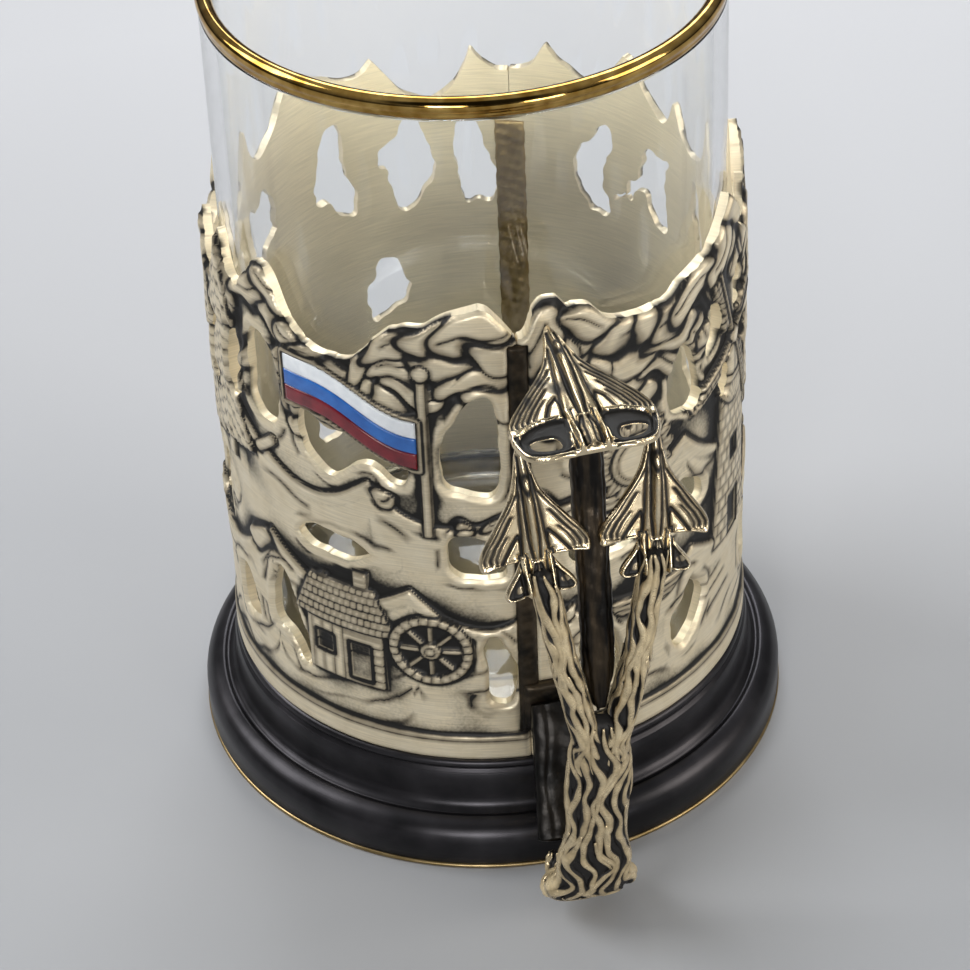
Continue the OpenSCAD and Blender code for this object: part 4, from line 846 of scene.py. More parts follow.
def drawSails(sheet, cu, cv, size, high, seed):
    part, u, v = patch(sheet, cu - size, cu + size, cv - size, cv + size)
    for k in range(4):
        turn = math.radians(20 + k * 90)
        x = (u - cu) * math.cos(turn) + (v - cv) * math.sin(turn)
        y = -(u - cu) * math.sin(turn) + (v - cv) * math.cos(turn)
        cloth = boxDist(x, y, size * 0.57, size * 0.085, size * 0.35, size * 0.085)
        lay(sheet, part, cloth, high * 0.86, 0.3)
        engrave(sheet, part, np.minimum(strip(x, size * 0.085), strip(y, size * 0.057)), cloth + 0.1, 0.13,
                0.08, 0.08)
        lay(sheet, part, boxDist(x, y, size * 0.475, size * 0.013, size * 0.475, size * 0.025), high, 0.25)
    lay(sheet, part, np.hypot(u - cu, v - cv) - size * 0.09, high + 0.03, 0.3)


def drawSun(sheet, cu, cv, size, high, seed):
    part, u, v = patch(sheet, cu - size * 1.3, cu + size * 1.3, cv - size * 1.3, cv + size * 1.3)
    rho, turn = np.hypot(u - cu, v - cv), np.arctan2(v - cv, u - cu)
    lay(sheet, part, rho - size * (0.9 + 0.1 * np.cos(turn * 16)), high * 0.75, 0.35)
    engrave(sheet, part, strip(turn, math.pi / 16) * rho, np.maximum(rho - size * 0.95, size * 0.68 - rho),
            0.14, 0.08, 0.1)
    lay(sheet, part, rho - size * 0.62,
        high * 0.8 + 0.2 * np.sqrt(np.clip(1 - (rho / size / 0.62) ** 2, 0, 1)), 0.3)
    engrave(sheet, part, rho - size * 0.48, None, 0.14, 0.06, 0.12)


def drawBoat(sheet, cu, cv, size, high, seed):
    part, u, v = patch(sheet, cu - size * 0.6, cu + size * 0.6, cv - 1, cv + size)
    x, y = u - cu, v - cv
    lay(sheet, part, boxDist(x, y, -size * 0.045, size * 0.6, size * 0.024, size * 0.38), high * 0.9, 0.25)
    edge = np.array([(-0.02, 0.28), (0.2, 0.25), (0.34, 0.3), (0.2, 0.62), (0, 0.93), (-0.01, 0.6)])
    sail = outlineDist(x, y, catmull(edge * size, 5, True))
    lay(sheet, part, sail, high * 0.82 + 0.16 * np.clip(x / size / 0.3, 0, 1))
    engrave(sheet, part, strip(y + x * 0.3, size * 0.13), sail + 0.25, 0.14, 0.06, 0.1)
    edge = np.array([(-0.44, 0.22), (0, 0.19), (0.48, 0.24), (0.32, 0.02), (0, -0.02), (-0.32, 0.02)])
    hull = outlineDist(x, y, catmull(edge * size, 4, True))
    lay(sheet, part, hull, high)
    engrave(sheet, part, strip(y - 0.1 * np.abs(x), size * 0.065), hull + 0.25, 0.14, 0.07, 0.08)


drawMotif = {"fir": drawFir, "crown": drawCrown, "pole": drawPole, "mill": drawMill, "wheel": drawWheel,
             "tower": drawTower, "sails": drawSails, "sun": drawSun, "boat": drawBoat}


def flagLine(share, drop):
    return np.array([flag["turn"] * perDegree + (share - 0.5) * flag["long"],
                     (flag["top"] - flag["fall"] * (share - 0.5)) * sleeve["height"]
                     + flag["wave"] * math.sin(math.radians(share * 360 - 40)) - drop])


# one plate of hill: it rolls over at its ridge, sinks towards the plate in front and has a few worn furrows
def drawHill(sheet, ridge, high, seed, furrows):
    u, v = sheet["u"], sheet["v"]
    slope = np.gradient(ridge, sheet["us"])
    dist = (v - ridge[None, :]) / np.sqrt(1 + slope[None, :] ** 2)
    lip = 0.12 * np.exp(-((dist + 0.75) / 0.5) ** 2) - 0.1 * np.exp(-((dist + 1.9) / 0.5) ** 2)
    lay(sheet, everywhere, dist, high + lip - 0.3 * smooth(-dist / 9) + 0.07 * wobble(u, v, 11, seed),
        0.75, 0.2)
    worn = wobble(u, v, 16, seed + 2)
    if furrows:
        fan = -dist + 0.22 * (u - 7 * np.round(u / 14) * 2) + 0.9 * wobble(u, v, 13, seed + 3)
        engrave(sheet, everywhere, strip(fan, 2.9), np.maximum(dist + 1.9, 0.45 - worn), 0.22, 0.09, 0.07)
    else:
        engrave(sheet, everywhere, -dist - 3.4 + wobble(u, v, 12, seed + 4), 0.25 - worn, 0.22, 0.09, 0.07)


# warps that bend every billow, so that none of them is a plain round
def billowWarp(u, v):
    warpedU = u + 1.4 * wobble(u, v, 10.5, 61) + 0.26 * wobble(u, v, 4.2, 62)
    return warpedU, v + 1.1 * wobble(u, v, 9.0, 63) + 0.22 * wobble(u, v, 4.0, 64)


# a billow of smoke or cloud: a long bent dome that overlaps what lies behind, with a fold or two along it
def drawCloud(sheet, cu, cv, r, low, dome, seed, lean=0.0, long=1.0):
    rng = np.random.default_rng(seed)
    reach = r * long + 2.2
    part, u, v = patch(sheet, cu - reach, cu + reach, cv - reach, cv + reach, 1.2)
    if u.size == 0:
        return None
    du, dv = billowWarp(u, v)
    c, s = math.cos(lean), math.sin(lean)
    x, y = ((du - cu) * c + (dv - cv) * s) / long, -(du - cu) * s + (dv - cv) * c
    rho = np.hypot(x, y)
    dist = (rho - r) * (0.5 + 0.5 / long)
    # the upper side stands high and the lower side sinks under the next billow
    swell = low + dome * np.sqrt(np.clip(1 - (rho / r) ** 2, 0, 1)) + 0.16 * np.clip(y / r, -1, 1)
    lay(sheet, part, dist, swell, 0.6, 0.22)
    if rng.random() < 0.75:
        fold = y - r * rng.uniform(-0.2, 0.45) - 0.25 * r * np.sin(x / r * 2.2 + rng.uniform(0, 6.28))
        within = np.maximum(rho - r * 0.8, -x * rng.choice([-1, 1]) - r * rng.uniform(0.1, 0.6))
        engrave(sheet, part, fold, within, 0.3, 0.22, 0.05)
    return dist


# flat mesh of all that lies where keep is under zero, with its outline cut between the grid's points
def openMesh(us, vs, keep, layers):
    inside = keep < 0
    index = np.full(keep.shape, -1)
    index[inside] = np.arange(inside.sum())
    jj, ii = np.nonzero(inside)
    flat, values = [np.stack([us[ii], vs[jj]], 1)], {k: [a[inside]] for k, a in layers.items()}
    firstCut = count = len(jj)
    cuts = []
    for dj, di in ((0, 1), (1, 0)):
        a = (slice(0, keep.shape[0] - dj), slice(0, keep.shape[1] - di))
        b = (slice(dj, None), slice(di, None))
        cj, ci = np.nonzero(inside[a] != inside[b])
        t = np.clip(keep[cj, ci] / (keep[cj, ci] - keep[cj + dj, ci + di]), 0.06, 0.94)
        table = np.full(keep.shape, -1)
        table[cj, ci] = count + np.arange(len(cj))
        count += len(cj)
        flat.append(np.stack([us[ci] * (1 - t) + us[ci + di] * t, vs[cj] * (1 - t) + vs[cj + dj] * t], 1))
        for k, layer in layers.items():
            values[k].append(layer[cj, ci] * (1 - t) + layer[cj + dj, ci + di] * t)
        cuts.append(table)
    alongRow, alongColumn = cuts
    corners = [inside[:-1, :-1], inside[:-1, 1:], inside[1:, 1:], inside[1:, :-1]]
    full = np.logical_and.reduce(corners)
    j, i = np.nonzero(full)
    faces = np.stack([index[j, i], index[j, i + 1], index[j + 1, i + 1], index[j + 1, i]], 1).tolist()
    rim = []
    for j, i in zip(*np.nonzero(np.logical_or.reduce(corners) & ~full)):
        ring = [index[j, i], alongRow[j, i], index[j, i + 1], alongColumn[j, i + 1], index[j + 1, i + 1],
                alongRow[j + 1, i], index[j + 1, i], alongColumn[j, i]]
        ring = [int(k) for k in ring if k >= 0]
        faces.append(ring)
        rim += [(a, b) for a, b in zip(ring, ring[1:] + ring[:1]) if a >= firstCut and b >= firstCut]
    return np.vstack(flat), {k: np.concatenate(v) for k, v in values.items()}, faces, rim, firstCut


# sparse triangles between the outline's points, for a plain back face
def sparseFaces(flat, rim, firstCut, us, vs, keep, spacing):
    rimIds = list(range(firstCut, len(flat)))
    grid = [(u, v) for u in np.arange(us[0] + spacing * 0.37, us[-1], spacing)
            for v in np.arange(vs[0] + spacing * 0.41, vs[-1], spacing)]
    fu = np.clip(((np.array(grid)[:, 0] - us[0]) / (us[1] - us[0])).astype(int), 0, len(us) - 2)
    fv = np.clip(((np.array(grid)[:, 1] - vs[0]) / (vs[1] - vs[0])).astype(int), 0, len(vs) - 2)
    extra = [g for g, i, j in zip(grid, fu, fv) if keep[j:j + 2, i:i + 2].max() < -0.6]
    spots = [Vector(flat[k]) for k in rimIds] + [Vector(g) for g in extra]
    lines = [(a - firstCut, b - firstCut) for a, b in rim]
    out, _, tris, origins, _, _ = delaunay_2d_cdt(spots, lines, [], 0, 1e-6)
    name = [o[0] if o else -1 for o in origins]
    assert min(name) >= 0, "outline crosses itself"
    fixed = {tuple(sorted(e)) for e in lines}
    tris = [[name[k] for k in t] for t in tris]
    beside = {}
    for f, t in enumerate(tris):
        for a, b in zip(t, t[1:] + t[:1]):
            beside.setdefault(tuple(sorted((a, b))), []).append(f)
    pts = np.array([tuple(s) for s in spots])

    def twiceArea(tri):
        a, b, c = (pts[k] for k in tri)
        return (b[0] - a[0]) * (c[1] - a[1]) - (c[0] - a[0]) * (b[1] - a[1])

    area = [abs(twiceArea(t)) for t in tris]
    group = [-1] * len(tris)
    kept = []
    for start in range(len(tris)):
        if group[start] >= 0:
            continue
        group[start], stack, members = start, [start], []
        while stack:
            f = stack.pop()
            members.append(f)
            t = tris[f]
            for a, b in zip(t, t[1:] + t[:1]):
                key = tuple(sorted((a, b)))
                if key not in fixed:
                    for g in beside[key]:
                        if group[g] < 0:
                            group[g] = start
                            stack.append(g)
        big = max(members, key=lambda f: area[f])
        mid = pts[tris[big]].mean(axis=0)
        i = int(round((mid[0] - us[0]) / (us[1] - us[0])))
        j = int(round((mid[1] - vs[0]) / (vs[1] - vs[0])))
        if 0 <= i < len(us) and 0 <= j < len(vs) and keep[j, i] < 0:
            kept += members
    faces = []
    for f in kept:
        a, b, c = tris[f]
        faces.append((a, c, b) if twiceArea(tris[f]) > 0 else (a, b, c))
    return np.array(extra).reshape(-1, 2), faces


# closes a drawn sheet into a shell: the raised front, a plain back and the wall between their rims
def closeShell(sheet, keep, high, cavity, spacing):
    us, vs = sheet["us"], sheet["vs"]
    flat, marks, faces, rim, firstCut = openMesh(us, vs, keep,
                                                 {"high": high, "edge": sheet["edge"], "cavity": cavity})
    extra, back = sparseFaces(flat, rim, firstCut, us, vs, keep, spacing)
    front = len(flat)
    flat = np.vstack([flat, flat[firstCut:], extra])
    faces += [(b, a, front + a - firstCut, front + b - firstCut) for a, b in rim]
    faces += [tuple(front + k for k in f) for f in back]
    marks["plain"] = np.zeros(front)
    for key, onBack in (("high", 0.0), ("edge", 9.0), ("cavity", 0.0), ("plain", 1.0)):
        marks[key] = np.concatenate([marks[key], np.full(len(flat) - front, onBack)])
    return flat, marks, faces, [np.arange(firstCut, front), np.arange(front, 2 * front - firstCut)]


def markSharp(piece, rings):
    mesh = piece.data
    ends = np.zeros(len(mesh.edges) * 2, dtype=np.int32)
    mesh.edges.foreach_get("vertices", ends)
    ends = ends.reshape(-1, 2)
    sharp = np.zeros(len(ends), bool)
    for ring in rings:
        member = np.zeros(len(mesh.vertices), bool)
        member[ring] = True
        sharp |= member[ends[:, 0]] & member[ends[:, 1]]
    layer = mesh.attributes.new("sharp_edge", "BOOLEAN", "EDGE")
    layer.data.foreach_set("value", sharp)


def nearestStep(us, at):
    return int(np.clip((at - us[0]) / sleeve["cell"], 0, len(us) - 1))


# long billows in rows under the top edge, the lower rows behind the upper ones, biggest by the front seam;
# what comes back is the distance to the plate's outline, negative inside it
def drawBillows(sheet, top, farLine, lowU, highU, rng):
    us, u, v = sheet["us"], sheet["u"], sheet["v"]
    slope = np.gradient(top, us)
    puffs = []
    for row in range(4):
        at = lowU + rng.uniform(0, 3)
        while at < highU:
            k = nearestStep(us, at)
            atFront = math.exp(-((at / perDegree + 2) / 30) ** 2)
            r = rng.uniform(1.6, 2.8) * (1 + 0.3 * atFront)
            cv = top[k] - r * 0.95 - row * rng.uniform(2.9, 3.6)
            lean = math.atan(slope[k]) + rng.uniform(-0.35, 0.35)
            if cv > farLine[k] - 1 and (row < 1 or rng.random() < 0.55 + 0.4 * atFront):
                low = 0.18 + 0.16 * atFront + 0.05 * (2 - min(row, 2))
                puffs.append((row, at, cv, r, low, 0.28 + 0.12 * atFront, lean, rng.uniform(1.3, 2.3)))
            at += r * rng.uniform(1.5, 2.6)
    puffs.sort(key=lambda p: -p[0])
    keep = (v - top[None, :] + 0.3 + 0.3 * wobble(u, v, 5.5, 71)) / np.sqrt(1 + slope[None, :] ** 2)
    for k, (row, cu, cv, r, low, dome, lean, long) in enumerate(puffs):
        dist = drawCloud(sheet, cu, cv, r, low, dome, k, lean, long)
        if row == 0 and dist is not None and abs(cu / perDegree) < 75:
            reach = r * long + 2.2
            part, pu, pv = patch(sheet, cu - reach, cu + reach, cv - reach, cv + reach, 1.2)
            keep[part] = np.minimum(keep[part], np.maximum(dist - 0.15, pv - top[None, part[1]] - 0.35))
    return keep


# two rows of hills, each with low bushes along its ridge
def drawGround(sheet, farLine, nearLine, side, lowU, highU, rng):
    us = sheet["us"]
    drawHill(sheet, farLine, 0.34, 31 + side, False)
    at = lowU + 1
    while at < highU:
        ridge = farLine[nearestStep(us, at)]
        r = rng.uniform(0.9, 1.6)
        if rng.random() < 0.4:
            seed = int(at * 7) % 97
            drawCloud(sheet, at, ridge - 0.2, r, 0.34, 0.16, seed, rng.uniform(-0.4, 0.4),
                      rng.uniform(1.0, 1.9))
        at += rng.uniform(3.0, 7.0)
    drawHill(sheet, nearLine, 0.62, 41 + side, True)
    at = lowU + 2
    while at < highU:
        ridge = nearLine[nearestStep(us, at)]
        if rng.random() < 0.35:
            r, seed = rng.uniform(1.1, 1.8), int(at * 5) % 89
            drawCloud(sheet, at, ridge - 0.4, r, 0.58, 0.2, seed, rng.uniform(-0.4, 0.4),
                      rng.uniform(1.0, 1.8))
        at += rng.uniform(3.5, 8.0)


# each opening is a torn shape with a rolled lip, more torn on the side away from the handle
def openWindows(sheet, keep, windows):
    for outline in windows:
        curve = catmull([(turn * perDegree, share * sleeve["height"]) for turn, share in outline], 5, True)
        (lowU, lowV), (highU, highV) = curve.min(axis=0), curve.max(axis=0)
        part, u, v = patch(sheet, lowU, highU, lowV, highV, 4)
        torn, fine = (1.5, 0.42) if abs(outline[0][0]) > 85 else (0.7, 0.12)
        hole = outlineDist(u, v, curve) + torn * wobble(u, v, 9.0, 81) + fine * wobble(u, v, 3.6, 82)
        keep[part] = np.maximum(keep[part], -hole)
        sheet["high"][part] += 0.14 * np.exp(-((hole - 0.75) / 0.45) ** 2)
        engrave(sheet, part, hole - 1.7 - 0.5 * wobble(u, v, 6, 83), 0.2 - wobble(u, v, 7, 84), 0.25, 0.12,
                0.05)
    sheet["high"] += 0.08 * np.exp(-((keep + 0.45) / 0.3) ** 2)


# the raised frame with the flat bed that the enamel lies in
def drawFlagFrame(sheet, keep):
    shares = np.linspace(0, 1, 25)
    outline = [flagLine(s, 0) for s in shares] + [flagLine(s, 3 * flag["stripe"]) for s in shares[::-1]]
    outline = np.array(outline)
    (lowU, lowV), (highU, highV) = outline.min(axis=0), outline.max(axis=0)
    part, u, v = patch(sheet, lowU, highU, lowV, highV, 3)
    cloth = outlineDist(u, v, outline)
    lay(sheet, part, cloth - flag["frame"], flag["high"] + 0.03, 0.3)
    lay(sheet, part, cloth, 0.0, 0.12, 0.0, 0.0)
    keep[part] = np.minimum(keep[part], cloth - flag["frame"])


# the sleeve is filed flat where the dark bar and the arm's pad sit on it
def sinkBeds(sheet):
    u, v = sheet["u"], sheet["v"]
    bar = (sleeve["front"], sleeve["barWide"], sleeve["barFoot"], sleeve["barTop"])
    pad = (0, sleeve["padWide"], sleeve["padFoot"], sleeve["padTop"])
    beds = []
    for middle, halfWide, foot, top in (bar, pad):
        beds.append(boxDist(u, v, middle * perDegree, foot + (top - foot) / 2, halfWide, (top - foot) / 2))
    sunk = smooth(0.5 - np.minimum(*beds) / 0.3)
    sheet["high"] = sheet["high"] * (1 - sunk) - 0.14 * sunk


def buildSleeve(side, valleys, far, near, windows, motifs):
    lowTurn, highTurn = sleeve["front"], sleeve["rear"]
    if side < 0:
        lowTurn, highTurn = sleeve["rear"] - 360, sleeve["front"]
    lowU, highU = lowTurn * perDegree + sleeve["seam"], highTurn * perDegree - sleeve["seam"]
    cell = sleeve["cell"]
    us = np.arange(lowU - cell * 1.3, highU + cell * 2, cell)
    sheet = newSheet(us, np.arange(-cell * 1.3, sleeve["height"] + cell * 2, cell))
    u, v = sheet["u"], sheet["v"]
    farLine, nearLine = lowestLine(far, us), lowestLine(near, us)
    rng = np.random.default_rng(11 if side < 0 else 23)
    sheet["high"] += 0.06 + 0.03 * wobble(u, v, 8, 5)
    keep = drawBillows(sheet, lowestLine(valleys, us), farLine, lowU, highU, rng)
    drawGround(sheet, farLine, nearLine, side, lowU, highU, rng)
    openWindows(sheet, keep, windows)
    for k, (kind, turn, share, size, high) in enumerate(motifs):
        drawMotif[kind](sheet, turn * perDegree, share * sleeve["height"], size * sleeve["height"], high, k)
    # plain band at the foot, with a line near its edge
    lay(sheet, everywhere, v - sleeve["band"], sleeve["bandHigh"] + 0.02 * wobble(u, v, 7, 3), 0.35, 0.12)
    engrave(sheet, everywhere, v - sleeve["band"] + 0.75, None, 0.16, 0.07, 0.07)
    if side < 0:
        drawFlagFrame(sheet, keep)
    sinkBeds(sheet)

    keep = np.maximum.reduce([keep, -v, lowU - u, u - highU])
    high = blur(sheet["high"], 1) * 0.35 + sheet["high"] * 0.65
    # depth under the surroundings, which the finish paints black: patina in the hollows and painted shade in
    # the gaps beside high plates
    cavity = np.maximum(blur(high, 4) - high, 0.75 * (blur(high, 9) - high))
    high = high - 0.6 * np.clip(1 + keep / 0.8, 0, 1) ** 2.4
    high = np.clip(high, -0.2, 1.02)
    flat, marks, faces, rims = closeShell(sheet, keep, high, cavity, 2.4)
    radius = np.where(marks["plain"] > 0, sleeve["inner"], sleeve["wall"] + marks.pop("high"))
    turn = np.radians(flat[:, 0] / perDegree)
    points = np.stack([radius * np.cos(turn), radius * np.sin(turn), sleeve["foot"] + flat[:, 1]], 1)
    name = "sleeve_left" if side < 0 else "sleeve_right"
    piece = makePiece(name + "_cast", points, faces, "holder", [name], reliefMaterial,
                      marks, flat)
    markSharp(piece, rims)
    print(name, len(points), "points")


buildSleeve(-1, leftValleys, leftFar, leftNear, leftWindows, leftMotifs)
buildSleeve(1, rightValleys, rightFar, rightNear, rightWindows, rightMotifs)

# the three enamel stripes, domed a little as poured enamel sets
stripes = {"enamel_white": (0, whiteEnamel, "white_enamel"), "enamel_blue": (1, blueEnamel, "blue_enamel"),
           "enamel_red": (2, redEnamel, "red_enamel")}
along, across = 72, 10
for name, (place, material, slotName) in stripes.items():
    points = []
    for low, outward in ((False, True), (True, False)):
        for j in range(across + 1):
            for i in range(along + 1):
                s, w = i / along, j / across
                u, v = flagLine(s, (place + w) * flag["stripe"] + (0.5 - w) * 0.05)
                u += (0.5 - s) * 0.1
                rim = min(min(s, 1 - s) * flag["long"], min(w, 1 - w) * flag["stripe"])
                dome = 0.68 - 0.1 * math.exp(-(rim / 0.18) ** 2) + 0.03 * math.sin(s * 9 + place)
                r = sleeve["wall"] + (dome if outward else 0.02)
                turn = math.radians(u / perDegree)
                points.append((r * math.cos(turn), r * math.sin(turn), sleeve["foot"] + v))
    makePiece(name + "_poured", points, slabFaces(across + 1, along + 1), "holder", [name],
              material)
print("enamel poured")

# The handle: every cast strand is a loft along one line in the handle's plane (r from the axis, z up, in mm)
handle = {"foot": 41.25, "past": 20.2, "top": 86.9, "columnWide": 8.6, "columnThick": 5.0,
          "knuckleWide": 12.6, "trail": 3.6, "spineWide": 4.4, "spineThick": 3.0, "armWide": 7.2,
          "armThick": 3.0, "trailAt": 0.275, "forkAt": 0.446, "mergeAt": 0.475, "swellAt": 0.817,
          "swellReach": 0.183, "bar": 36.75, "merged": 1.8}
lineShares = [[0.702, 0.951], [0.837, 0.927], [0.921, 0.874], [0.964, 0.787], [1, 0.645], [1, 0.515],
              [0.925, 0.389], [0.837, 0.279], [0.734, 0.169], [0.66, 0.092], [0.522, 0.056],
              [0.375, 0.056], [0.268, 0.08]]
armShares = [[0, 0.286], [0.214, 0.253], [0.476, 0.189], [0.738, 0.127], [0.952, 0.092]]
handleOut = handle["foot"] + handle["past"]
lineReach = handle["past"] - handle["columnThick"] / 2
handleLine = np.array([(handle["foot"] + a * lineReach, b * handle["top"]) for a, b in lineShares])
armReach = handleLine[-1][0] - handle["bar"]
armLine = np.array([(handle["bar"] + a * armReach, b * handle["top"]) for a, b in armShares])
lastStation = len(handleLine) - 1


squareness = 0.75  # of a strand's rounded section


# place and direction on a line at station t
def alongLine(line, t):
    last = len(line) - 1
    i = min(int(t), last - 1)
    a, b, c, d = line[max(i - 1, 0)], line[i], line[i + 1], line[min(i + 2, last)]
    s = t - i
    ahead = ((c - a) + 2 * (2 * a - 5 * b + 4 * c - d) * s + 3 * (3 * b - a - 3 * c + d) * s * s) / 2
    return between(a, b, c, d, s), ahead / np.linalg.norm(ahead)


# closed loft: rows of (place, direction, sideways, half width, half thickness); carve(s, w, girth) gives
# depth and edge, with s along and w round the strand from its outer middle, both in mm
def strand(rows, around, carve, roundEnds):
    turns = np.arange(around) * 2 * math.pi / around
    # angle zero is the outer middle, so the map's seam lies on the inner side
    c, s = np.sin(turns), -np.cos(turns)
    flatW = np.sign(c) * np.abs(c) ** squareness
    flatT = np.sign(s) * np.abs(s) ** squareness
    points, edges, hollows = [], [], []
    run = 0.0
    before = None
    for k, (place, ahead, side, halfW, halfT) in enumerate(rows):
        run += 0 if before is None else float(np.linalg.norm(place - before))
        before = place
        # the ends are rounded over four rows for each unit of roundEnds
        fromEnd = min(k / (roundEnds[0] * 4), (len(rows) - 1 - k) / (roundEnds[1] * 4))
        shrink = math.sqrt(max(1 - (1 - min(fromEnd, 1)) ** 2, 0.12))
        w, t = flatW * halfW * shrink, flatT * halfT * shrink
        ring = np.stack([w, t], 1)
        step = np.roll(ring, -1, axis=0) - np.roll(ring, 1, axis=0)
        normal = np.stack([step[:, 1], -step[:, 0]], 1)
        normal /= np.maximum(np.linalg.norm(normal, axis=1), 1e-9)[:, None]
        outward = np.where((normal * ring).sum(axis=1) < 0, -1.0, 1.0)[:, None]
        normal *= outward
        lengths = np.linalg.norm(np.roll(ring, -1, axis=0) - ring, axis=1)
        girth = lengths.sum()
        w0 = np.concatenate([[0], np.cumsum(lengths)[:-1]])
        w0 = np.where(w0 > girth / 2, w0 - girth, w0)
        depth, edge = carve(run, w0, girth)
        ring = ring + normal * depth[:, None]
        points.append(np.stack([place[0] + ahead[1] * ring[:, 1], side + ring[:, 0],
                                place[1] - ahead[0] * ring[:, 1]], 1))
        edges.append(edge)
        # carving depth that the finish paints black: patina in deep places and painted shade between wisps
        hollows.append(np.clip(-depth - 0.12, 0, 1) * 0.6)
    points = np.vstack(points)
    ends = [points[:around].mean(axis=0), points[-around:].mean(axis=0)]
    total, last = len(points), len(points) - around
    points = np.vstack([points, ends])
    faces = []
    for a in range(0, last, around):
        for i in range(around):
            n = (i + 1) % around
            faces.append((a + i, a + around + i, a + around + n, a + n))
    for i in range(around):
        n = (i + 1) % around
        faces.append((total, i, n))
        faces.append((total + 1, last + n, last + i))
    edge = np.concatenate(edges + [[9.0, 9.0]])
    hollow = np.concatenate(hollows + [[0.0, 0.0]])
    return points, faces, edge, hollow


# turns the faces outward if the loft came out inside out
def facedOut(points, faces):
    volume = 0.0
    for f in faces:
        p = points[list(f)]
        for k in range(1, len(f) - 1):
            volume += np.dot(p[0], np.cross(p[k], p[k + 1]))
    return faces if volume > 0 else [tuple(reversed(f)) for f in faces]


def joined(parts):
    points, faces, edges, hollows, start = [], [], [], [], 0
    for p, f, e, h in parts:
        f = facedOut(p, f)
        points.append(p)
        faces += [tuple(start + k for k in face) for face in f]
        edges.append(e)
        hollows.append(h)
        start += len(p)
    return np.vstack(points), faces, np.concatenate(edges), np.concatenate(hollows)


# the black core under the wisps of smoke: carved deep, it is painted black by the finish, as patina and as
# painted shade between the wisps
def coreCarve(s, w, girth):
    q = 2 * math.pi * w / girth
    depth = -0.52 + 0.07 * np.sin(1.1 * s + 3 * q) + 0.05 * np.sin(2.3 * s - 5 * q)
    return depth, 0.04 + 0.05 * np.sin(0.7 * s + 2 * q)


# even steps round a strand's rounded section, which is 1.7 times as wide as it is thick
skinTurns = np.linspace(0, 2 * math.pi, 721)
skinW = np.sign(np.sin(skinTurns)) * np.abs(np.sin(skinTurns)) ** squareness * 1.7
skinT = -np.sign(np.cos(skinTurns)) * np.abs(np.cos(skinTurns)) ** squareness
skinRun = np.concatenate([[0], np.cumsum(np.hypot(np.diff(skinW), np.diff(skinT)))])
skinRun *= 2 * math.pi / skinRun[-1]


# a place on a strand's skin: share runs along it, turn is the angle from its outer middle, lift is in mm
def onSkin(rows, share, turn, lift):
    k = min(max(share, 0.0), 1.0) * (len(rows) - 1)
    i = min(int(k), len(rows) - 2)
    place, ahead, side, halfW, halfT = [a + (b - a) * (k - i) for a, b in zip(rows[i], rows[i + 1])]
    turn = float(np.interp(turn % (2 * math.pi), skinRun, skinTurns))
    c, s = math.sin(turn), -math.cos(turn)
    w, t = math.copysign(abs(c) ** squareness * halfW, c), math.copysign(abs(s) ** squareness * halfT, s)
    away = math.hypot(w / halfW ** 2, t / halfT ** 2)
    w, t = w + lift * w / halfW ** 2 / away, t + lift * t / halfT ** 2 / away
    return place[0] + ahead[1] * t, side + w, place[1] - ahead[0] * t


# how far points lie over a strand's skin, in mm; 2.67 is 2 / squareness and 0.375 its inverse
def overSkin(rows, points):
    spots = np.array([r[0] for r in rows])
    near = np.array([np.argmin((spots[:, 0] - p[0]) ** 2 + (spots[:, 1] - p[2]) ** 2) for p in points])
    place, ahead = spots[near], np.array([r[1] for r in rows])[near]
    side, halfW, halfT = (np.array([r[k] for r in rows])[near] for k in (2, 3, 4))
    w = points[:, 1] - side
    t = (points[:, 0] - place[:, 0]) * ahead[:, 1] - (points[:, 2] - place[:, 1]) * ahead[:, 0]
    grow = ((np.abs(w) / halfW) ** 2.67 + (np.abs(t) / halfT) ** 2.67) ** 0.375
    return (1 - 1 / np.maximum(grow, 1e-3)) * np.hypot(w, t)


# guide lines for wisps that wander along a strand, part and run together: lists of (x, y, z, girth) in mm
def wispLines(rows, count, girth, seed, spans, start, stop, wild=0.1, flow=0.26, step=0.42):
    rng = np.random.default_rng(seed)
    length = sum(float(np.linalg.norm(b[0] - a[0])) for a, b in zip(rows[:-1], rows[1:]))
    shift = rng.uniform(0, 6.28, 6)
    lines = []
    for k in range(count):
        turn0 = 2 * math.pi * (k + rng.uniform(-0.2, 0.2)) / count
        for low, high in spans:
            low = max(low + rng.uniform(-0.05, 0.05), start)
            high = min(high + rng.uniform(-0.06, 0.06), stop)
            own = rng.uniform(0, 6.28, 3)
            drift = rng.uniform(-0.5, 0.5) * 2 * math.pi / count
            thick = rng.uniform(0.8, 1.2)
            steps = max(int((high - low) * length / step), 6)
            line = []
            for i in range(steps + 1):
                f = i / steps
                share = low + (high - low) * f
                s = share * length
                sway = math.sin(0.42 * s + 0.8 * turn0 + shift[0])
                sway += 0.5 * math.sin(0.85 * s + turn0 + shift[1])
                stray = math.sin(0.75 * s + own[0]) + 0.4 * math.sin(1.7 * s + own[1])
                turn = turn0 + drift * (f - 0.5) + flow * sway + wild * stray
                taper = min(1.0, (min(f, 1 - f) * steps * step + 0.3) / 4.5) ** 0.6
                widen = rows[min(int(share * (len(rows) - 1)), len(rows) - 1)][3] / rows[len(rows) // 3][3]
                beat = 0.84 + 0.24 * math.sin(0.8 * s + own[2]) + 0.1 * math.sin(2.1 * s + own[0])
                r = girth * thick * taper * beat * (0.55 + 0.45 * widen)
                line.append(onSkin(rows, share, turn, -r * 0.95 - 0.1) + (r,))
            lines.append(line)
    return lines


